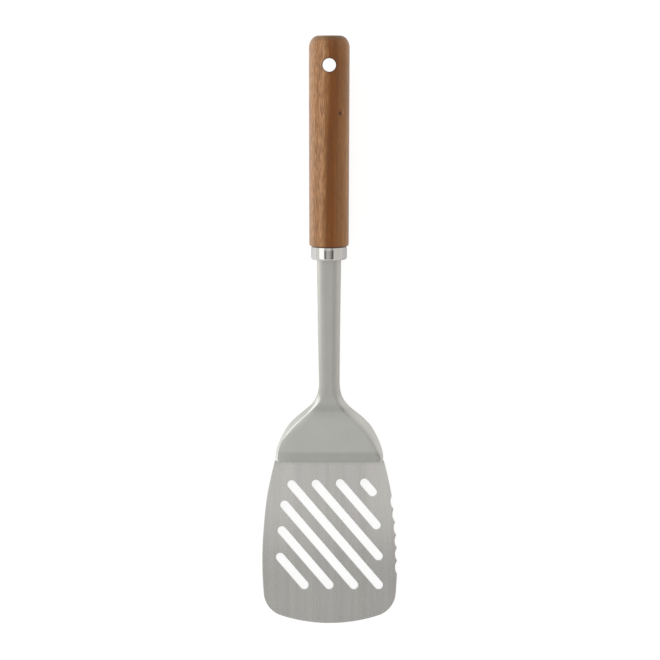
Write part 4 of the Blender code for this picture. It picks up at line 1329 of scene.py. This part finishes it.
def wood_finish():
    """Oiled hardwood: a light side and a dark heart, straight fibres, pores, a small knot, dark end grain.

    The heart's edge lies where HEART_EDGE says and wavers. Painted shade darkens the hole's wall and the wood
    round its rim, with a little darker end grain there, and the handle's lower edge by the ferrule. A painted
    sheen makes the wood paler along its sides.
    """
    finish, grip = sizes("finish"), sizes("grip")
    nodes = Nodes("oiled_hardwood")
    place = nodes.local(grip_frame())
    noise = nodes.noises(place, WOOD_NOISE)
    axes = nodes.axes(place)
    across, along = axes["X"], axes["Y"]
    heart = nodes.less(nodes.plus(across, HEART_OFFSET), nodes.profile(along, HEART_EDGE))
    heart = nodes.plus(heart, nodes.wave(noise["waver"], 3.0), nodes.wave(noise["ragged"], 1.6))
    stops = [(at, getattr(finish, "wood_" + name)) for at, name in HEART_TONES]
    tone = nodes.ramp(nodes.span(heart, -HEART_REACH, HEART_REACH), stops)
    light_side = nodes.span(heart, *LIGHT_SIDE, 1.0, 0.35)
    lighter = nodes.times(nodes.span(noise["dashes"], 0.5, 0.64, 0.0, 0.32), light_side)
    streak = nodes.plus(across, nodes.wave(noise["waver"], 1.5))
    tone = nodes.shade(tone, nodes.times(
        nodes.profile(streak, WOOD_ACROSS),
        nodes.vary(noise["rings"], 0.88, 1.12),
        nodes.vary(noise["fibres"], 0.90, 1.10),
        nodes.plus(lighter, 1.0),
    ))
    darker = nodes.times(nodes.span(noise["dashes"], 0.36, 0.5, 0.60, 0.0), light_side)
    tone = nodes.blend(darker, tone, finish.wood_dash)
    warm = nodes.blend(nodes.span(noise["patches"], 0.35, 0.65), WARM_PATCH, COOL_PATCH)
    tone = nodes.blend(1.0, tone, warm, "MULTIPLY")
    pores = nodes.span(noise["pores"], 0.64, 0.74, 0.0, 0.55)
    tone = nodes.blend(pores, tone, finish.wood_pore)
    tone = knot_tone(nodes, tone, place, noise["ragged"])
    top = grip.handle_length * MM
    from_hole = nodes.moved(place, (0.0, top - grip.hole_from_top * MM, 0.0), (1.0, 1.0, 0.0))
    past_rim = nodes.less(nodes.size(from_hole), grip.hole / 2.0 * MM)
    # Painted shade: the hole's wall and the wood just round its rim are darkened, with a little darker end
    # grain at the rim
    tone = nodes.shade(tone, nodes.span(past_rim, *HOLE_SHADE, 0.30, 1.0))
    end_grain = nodes.span(along, top - END_GRAIN[0], top - END_GRAIN[1], 0.0, 0.55, smooth=True)
    tone = nodes.blend(end_grain, tone, finish.wood_end)
    # Painted sheen: paler along both sides, for light reflected at the grazing edges
    tone = nodes.blend(nodes.profile(across, EDGE_SHEEN), tone, finish.wood_edge_sheen)
    # Painted shade: darker at the lower edge, where the wood meets the ferrule
    tone = nodes.shade(tone, nodes.span(along, *LOW_EDGE_SHADE, 0.6, 1.0))
    nodes.into(Base_Color=tone, Roughness=nodes.vary(noise["fibres"], 0.28, 0.38))
    nodes.constant(Specular_IOR_Level=0.38)
    grain = nodes.plus(nodes.times(noise["fibres"], 0.5), nodes.times(noise["dashes"], 0.5))
    nodes.bump(nodes.less(grain, pores), WOOD_BUMP)
    return nodes.block


def polished_finish():
    """Polished steel with faint turning lines and the softest smudges."""
    nodes = Nodes("polished_steel")
    noise = nodes.noises(nodes.local(grip_frame()), FERRULE_NOISE)
    tone = nodes.shade(sizes("finish").ferrule_steel, nodes.vary(noise["smudge"], 0.985, 1.01))
    smudged = nodes.span(noise["smudge"], 0.35, 0.7, 0.05, 0.085)
    nodes.into(Base_Color=tone, Roughness=nodes.plus(smudged, nodes.vary(noise["lines"], 0.0, 0.02)))
    nodes.constant(Metallic=1.0)
    nodes.bump(noise["lines"], FERRULE_BUMP)
    return nodes.block


def satin_finish():
    """Blasted steel: an even fine grain with faint clouding.

    Painted shade makes the toe's edge, the foot of the arch and the inside of the right crease a little darker,
    and the right part of the band along the toe and a line along its top are darker too. The left crease is
    burnished and painted brighter as a highlight.
    """
    finish, neck = sizes("finish"), sizes("neck")
    nodes = Nodes("satin_steel")
    place = nodes.local(sheet_frame())
    noise = nodes.noises(place, NECK_NOISE)
    axes = nodes.axes(place)
    from_toe = nodes.less(axes["Y"], toe_line() * MM)
    shaft = nodes.span(from_toe, *SHAFT_TONE, smooth=True)
    band = neck.band * MM
    fade = nodes.span(axes["X"], *BAND_FADE, -0.045, 0.035)
    on_face = nodes.span(axes["Z"], *BAND_FACE)
    on_band = nodes.times(nodes.span(from_toe, band - 1.0, band + 0.6, 1.0, 0.0), on_face, fade)
    # Painted shade: a darker line along the toe's edge, where it steps down onto the blade
    toe = nodes.span(from_toe, *TOE_LINE, 0.08, 0.0)
    from_line = nodes.math("ABSOLUTE", nodes.less(from_toe, band - BAND_LINE_BELOW))
    line = nodes.times(nodes.span(from_line, *BAND_LINE, 0.6, 0.0), fade)
    darker = nodes.plus(nodes.plus(on_band, toe), nodes.plus(line, nodes.profile(from_toe, ARCH_SHADE)))
    # Crease mark: a painted highlight on the burnished left crease, and painted shade inside the right crease
    mark = nodes.add("ShaderNodeAttribute", attribute_type="GEOMETRY", attribute_name=BURNISH_SHEEN_AND_SHADE)
    burnish_sheen_and_shade = mark.outputs["Fac"]
    level = nodes.times(
        nodes.vary(noise["cloud"], 0.975, 1.02),
        nodes.vary(noise["grain"], 0.97, 1.03),
        nodes.less(1.0, darker),
        nodes.plus(nodes.times(burnish_sheen_and_shade, 0.07), 1.0),
    )
    tone = nodes.shade(nodes.blend(shaft, finish.pan_steel, finish.neck_steel), level)
    rough = nodes.plus(nodes.between(shaft, 0.355, 0.425), nodes.vary(noise["grain"], -0.02, 0.02))
    rough = nodes.less(rough, nodes.times(nodes.math("MAXIMUM", burnish_sheen_and_shade, 0.0), 0.15))
    nodes.into(Base_Color=tone, Roughness=rough)
    nodes.constant(Metallic=1.0)
    nodes.bump(noise["grain"], NECK_BUMP)
    return nodes.block


def brushed_finish():
    """Steel sheet brushed from tip to shoulder: fine lines, broader streaks and a few short bright strokes.

    Its level is painted light and shade in place of the reflection's changes: it follows SHEET_ALONG, rises
    towards the sides, falls on the lower right and is lowest at the toe, where the neck laps over it.
    """
    finish = sizes("finish")
    nodes = Nodes("brushed_steel")
    place = nodes.local(sheet_frame())
    noise = nodes.noises(place, BLADE_NOISE)
    axes = nodes.axes(place)
    across, along = axes["X"], axes["Y"]
    tone = nodes.blend(nodes.span(noise["tints"], 0.4, 0.6), finish.blade_steel, finish.blade_tint)
    lines = nodes.vary(noise["lines"], 0.989, 1.011)
    brushing = nodes.times(lines, nodes.vary(noise["streaks"], 0.95, 1.05))
    strokes = nodes.times(nodes.span(noise["strokes"], 0.68, 0.80), 0.06)
    # Painted sheen brighter towards the sides beside the shoulder, and painted shade on the lower right and at
    # the toe
    beside = nodes.span(nodes.math("ABSOLUTE", across), *SIDE_SHEEN, 0.0, 0.06, smooth=True)
    beside = nodes.times(beside, nodes.span(along, *SIDE_SHEEN_ALONG))
    low_right_shade = nodes.times(nodes.span(across, *LOW_RIGHT_SHADE, 0.0, 0.04), nodes.span(along, *LOW_RIGHT_SHADE_ALONG))
    level = nodes.less(nodes.plus(beside, nodes.profile(along, SHEET_ALONG)), low_right_shade)
    from_toe = nodes.less(along, toe_line() * MM)
    level = nodes.times(nodes.plus(brushing, strokes), level, nodes.span(from_toe, *TOE_SHADE, 1.0, 0.89))
    nodes.into(Base_Color=nodes.shade(tone, level), Roughness=nodes.vary(noise["lines"], 0.25, 0.30))
    nodes.constant(Metallic=1.0, Anisotropic=0.85)
    brushed = nodes.add("ShaderNodeTangent", direction_type="UV_MAP", uv_map=BRUSH_MAP)
    nodes.into(Tangent=brushed.outputs["Tangent"])
    nodes.bump(noise["lines"], BLADE_BUMP)
    return nodes.block


def resin_finish():
    """Cured resin with a few cloudy places, hidden in the handle."""
    finish = sizes("finish")
    nodes = Nodes("cured_resin")
    cloud = nodes.noises(nodes.local(grip_frame()), RESIN_NOISE)["cloud"]
    tone = nodes.blend(nodes.span(cloud, 0.35, 0.65, 0.0, 0.25), finish.resin, finish.resin_dark)
    nodes.into(Base_Color=tone, Roughness=nodes.vary(cloud, 0.35, 0.5))
    nodes.bump(cloud, RESIN_BUMP)
    return nodes.block


# Stage: camera, floor, and a dome of soft light that the camera doesn't see


def make_dome(radius):
    """A sphere's upper half that reaches a little below the table, from rings of equal angle."""
    tilt = np.linspace(0.0, pi / 2.0 + 0.04, 40)[:, None]
    around = np.linspace(0.0, 2.0 * pi, 97)[None, :]
    parts = np.broadcast_arrays(np.sin(tilt) * np.cos(around), np.sin(tilt) * np.sin(around), np.cos(tilt))
    points = np.stack(parts, axis=-1) * radius
    mesh = bpy.data.meshes.new("light_dome")
    index = np.arange(tilt.size * around.size).reshape(tilt.size, around.size)
    mesh.from_pydata(points.reshape(-1, 3).tolist(), [], quads(index))
    return put("light_dome", mesh)


def dome_light():
    """Light of the dome by direction, as its lean to the side and its tip towards the handle, in degrees.

    Pale walls all round, a softbox on the left, and overhead a grey board with a dark gap on each side of it.
    """
    stage = sizes("stage")
    nodes = Nodes("dome_light")
    axes = nodes.axes(nodes.add("ShaderNodeTexCoord").outputs["Object"])
    lean = nodes.times(nodes.math("ARCTAN2", axes["X"], axes["Z"]), 180.0 / pi)
    tip = nodes.times(nodes.math("ARCTAN2", axes["Y"], axes["Z"]), 180.0 / pi)
    board = nodes.times(nodes.profile(lean, BOARD_ACROSS), nodes.profile(tip, BOARD_ALONG), stage.board)
    board = nodes.between(nodes.span(tip, *BOARD_END), board, nodes.profile(lean, BEYOND_ACROSS))
    walls = nodes.span(lean, *WALLS_LEAN, stage.wall_left, stage.wall_right)
    softbox = nodes.span(lean, *SOFTBOX_FALL, stage.softbox, stage.softbox * SOFTBOX_LEAST)
    in_softbox = nodes.times(
        nodes.span(lean, *SOFTBOX_LEFT),
        nodes.span(lean, *SOFTBOX_RIGHT, 1.0, 0.0),
        nodes.span(tip, *SOFTBOX_TOP, 1.0, 0.0),
    )
    on_board = nodes.times(nodes.span(lean, *BOARD_LEFT), nodes.span(lean, *BOARD_RIGHT, 1.0, 0.0))
    level = nodes.between(on_board, nodes.between(in_softbox, walls, softbox), board)
    level = nodes.between(nodes.span(nodes.math("ABSOLUTE", tip), *END_WALLS), level, stage.wall_ends)
    tone = nodes.blend(nodes.span(lean, *TONES_LEAN), stage.left_tone, stage.right_tone)
    nodes.surface(nodes.add("ShaderNodeEmission", {"Color": tone, "Strength": level}).outputs[0])
    return nodes.block


def floor_finish():
    """White table: it glows enough to look white to the camera and in metal, and takes a soft shadow."""
    stage = sizes("stage")
    nodes = Nodes("white_table")
    path = nodes.add("ShaderNodeLightPath").outputs
    across = nodes.axes(nodes.add("ShaderNodeTexCoord").outputs["Object"])["X"]
    mirrored = nodes.span(across, *TABLE_SIDES, stage.table_glow, stage.table_glow * stage.table_right)
    open_sky = nodes.add("ShaderNodeAmbientOcclusion", {"Distance": TABLE_SHADE}, samples=8).outputs["AO"]
    mirrored = nodes.times(mirrored, open_sky, path["Is Glossy Ray"])
    seen = nodes.math("MAXIMUM", path["Is Camera Ray"], path["Is Transmission Ray"])
    strength = nodes.math("MAXIMUM", nodes.times(seen, stage.table_seen), mirrored)
    cloth = nodes.add("ShaderNodeBsdfDiffuse", {"Color": stage.table_cloth})
    glow = nodes.add("ShaderNodeEmission", {"Strength": strength})
    nodes.surface(nodes.add("ShaderNodeAddShader", {0: cloth.outputs[0], 1: glow.outputs[0]}).outputs[0])
    return nodes.block


def white_world():
    """White for the camera, metal and glass, and the right wall's level for everything else."""
    nodes = Nodes("studio", "worlds")
    path = nodes.add("ShaderNodeLightPath").outputs
    white = nodes.math("MAXIMUM", path["Is Camera Ray"], path["Is Glossy Ray"])
    white = nodes.math("MAXIMUM", white, path["Is Transmission Ray"])
    background = nodes.tree.nodes["Background"]
    background.inputs["Color"].default_value = (1.0, 1.0, 1.0, 1.0)
    level = nodes.span(white, 0.0, 1.0, sizes("stage").wall_right, 1.0)
    nodes.tree.links.new(level, background.inputs["Strength"])
    bpy.context.scene.world = nodes.block


def make_camera():
    """The photograph's view: nearly straight down, with the handle at the top of the picture."""
    stage = sizes("stage")
    right = Vector((1.0, 0.0, 0.0))
    up = Vector((0.0, cos(stage.tilt), sin(stage.tilt)))
    back = right.cross(up)
    data = bpy.data.cameras.new("camera")
    data.sensor_width = 36.0
    data.lens = stage.focal_pixels / PICTURE_WIDTH * data.sensor_width
    data.clip_end = 40.0
    camera = put("camera", data)
    turned = Matrix((right, up, back)).transposed().to_4x4()
    place = grip_frame().translation - right * stage.aim_x - up * stage.aim_y + back * stage.distance
    camera.matrix_world = Matrix.Translation(place) @ turned
    bpy.context.scene.camera = camera


# Operators


class TURNER_OT_blade(bpy.types.Operator):
    """Make the brushed blade with its slots and scalloped edge"""

    bl_idname = "turner.blade"
    bl_label = "Blade"

    def execute(self, context):
        piece = blade_skin().make("blade_sheet", sheet_frame())
        lay_map(piece, BRUSH_MAP)
        fit_piece(piece, brushed_finish(), "blade")
        return {"FINISHED"}


class TURNER_OT_neck(bpy.types.Operator):
    """Make the satin neck: tang, shaft, arch, pan and toe, with the blade's seat in its back"""

    bl_idname = "turner.neck"
    bl_label = "Neck"

    def execute(self, context):
        piece = neck_skin().make("neck_forging", sheet_frame())
        cutter = rebate_skin().make("blade_seat", sheet_frame())
        cut_away(piece, cutter)
        soften(piece, NECK_SMOOTH_DEG)
        mark_crease(piece)
        fit_piece(piece, satin_finish(), "neck")
        return {"FINISHED"}


class TURNER_OT_ferrule(bpy.types.Operator):
    """Make the polished ferrule with the shaft's slot in its closed end"""

    bl_idname = "turner.ferrule"
    bl_label = "Ferrule"

    def execute(self, context):
        piece = ferrule_skin().make("ferrule_cup", grip_frame())
        fit_piece(piece, polished_finish(), "ferrule")
        return {"FINISHED"}


class TURNER_OT_handle(bpy.types.Operator):
    """Make the turned wooden handle with its hanging hole"""

    bl_idname = "turner.handle"
    bl_label = "Handle"

    def execute(self, context):
        piece = handle_skin().make("handle_grip", grip_frame())
        fit_piece(piece, wood_finish(), "handle")
        return {"FINISHED"}


class TURNER_OT_resin(bpy.types.Operator):
    """Give the hidden resin sleeve its finish"""

    bl_idname = "turner.resin"
    bl_label = "Resin"

    def execute(self, context):
        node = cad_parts["tang_adhesive"]
        node.data.materials.clear()
        node.data.materials.append(resin_finish())
        return {"FINISHED"}


class TURNER_OT_stage(bpy.types.Operator):
    """Set the camera, the white table and the dome of soft light"""

    bl_idname = "turner.stage"
    bl_label = "Stage"

    def execute(self, context):
        stage = sizes("stage")
        make_camera()
        reach = stage.dome_radius * 1.2
        corners = [(-reach, -reach, 0.0), (reach, -reach, 0.0), (reach, reach, 0.0), (-reach, reach, 0.0)]
        mesh = bpy.data.meshes.new("table")
        mesh.from_pydata(corners, [], [(0, 1, 2, 3)])
        mesh.materials.append(floor_finish())
        table = put("table", mesh)
        dome = make_dome(stage.dome_radius)
        dome.data.materials.append(dome_light())
        dome.visible_camera = False
        dome.visible_shadow = False
        white_world()
        context.scene.view_settings.view_transform = "Standard"
        return {"FINISHED"}


PIECES = (
    TURNER_OT_blade,
    TURNER_OT_neck,
    TURNER_OT_ferrule,
    TURNER_OT_handle,
    TURNER_OT_resin,
    TURNER_OT_stage,
)

GROUPS = (
    ("turner_fit", TurnerFit, "Fit"),
    ("turner_blade", TurnerBlade, "Blade"),
    ("turner_neck", TurnerNeck, "Neck"),
    ("turner_grip", TurnerGrip, "Ferrule and handle"),
    ("turner_finish", TurnerFinish, "Finishes"),
    ("turner_stage", TurnerStage, "Stage"),
)


class TURNER_PT_panel(bpy.types.Panel):
    """Buttons and sizes of the turner"""

    bl_idname = "TURNER_PT_panel"
    bl_label = "Slotted turner"
    bl_space_type = "VIEW_3D"
    bl_region_type = "UI"
    bl_category = "Turner"

    def draw(self, context):
        layout = self.layout
        for piece in PIECES:
            layout.operator(piece.bl_idname)
        for name, group, title in GROUPS:
            box = layout.box()
            box.label(text=title)
            for key in group.__annotations__:
                box.prop(getattr(context.scene, name), key)


def register():
    """Registers the groups, the operators and the panel."""
    for name, group, _ in GROUPS:
        bpy.utils.register_class(group)
        setattr(bpy.types.Scene, name, PointerProperty(type=group))
    for piece in PIECES:
        bpy.utils.register_class(piece)
    bpy.utils.register_class(TURNER_PT_panel)


def unregister():
    """Takes them out again."""
    bpy.utils.unregister_class(TURNER_PT_panel)
    for piece in reversed(PIECES):
        bpy.utils.unregister_class(piece)
    for name, group, _ in reversed(GROUPS):
        delattr(bpy.types.Scene, name)
        bpy.utils.unregister_class(group)


def main():
    """Builds everything in order."""
    register()
    bpy.ops.turner.blade()
    bpy.ops.turner.neck()
    bpy.ops.turner.ferrule()
    bpy.ops.turner.handle()
    bpy.ops.turner.resin()
    bpy.ops.turner.stage()


if __name__ == "__main__":
    main()
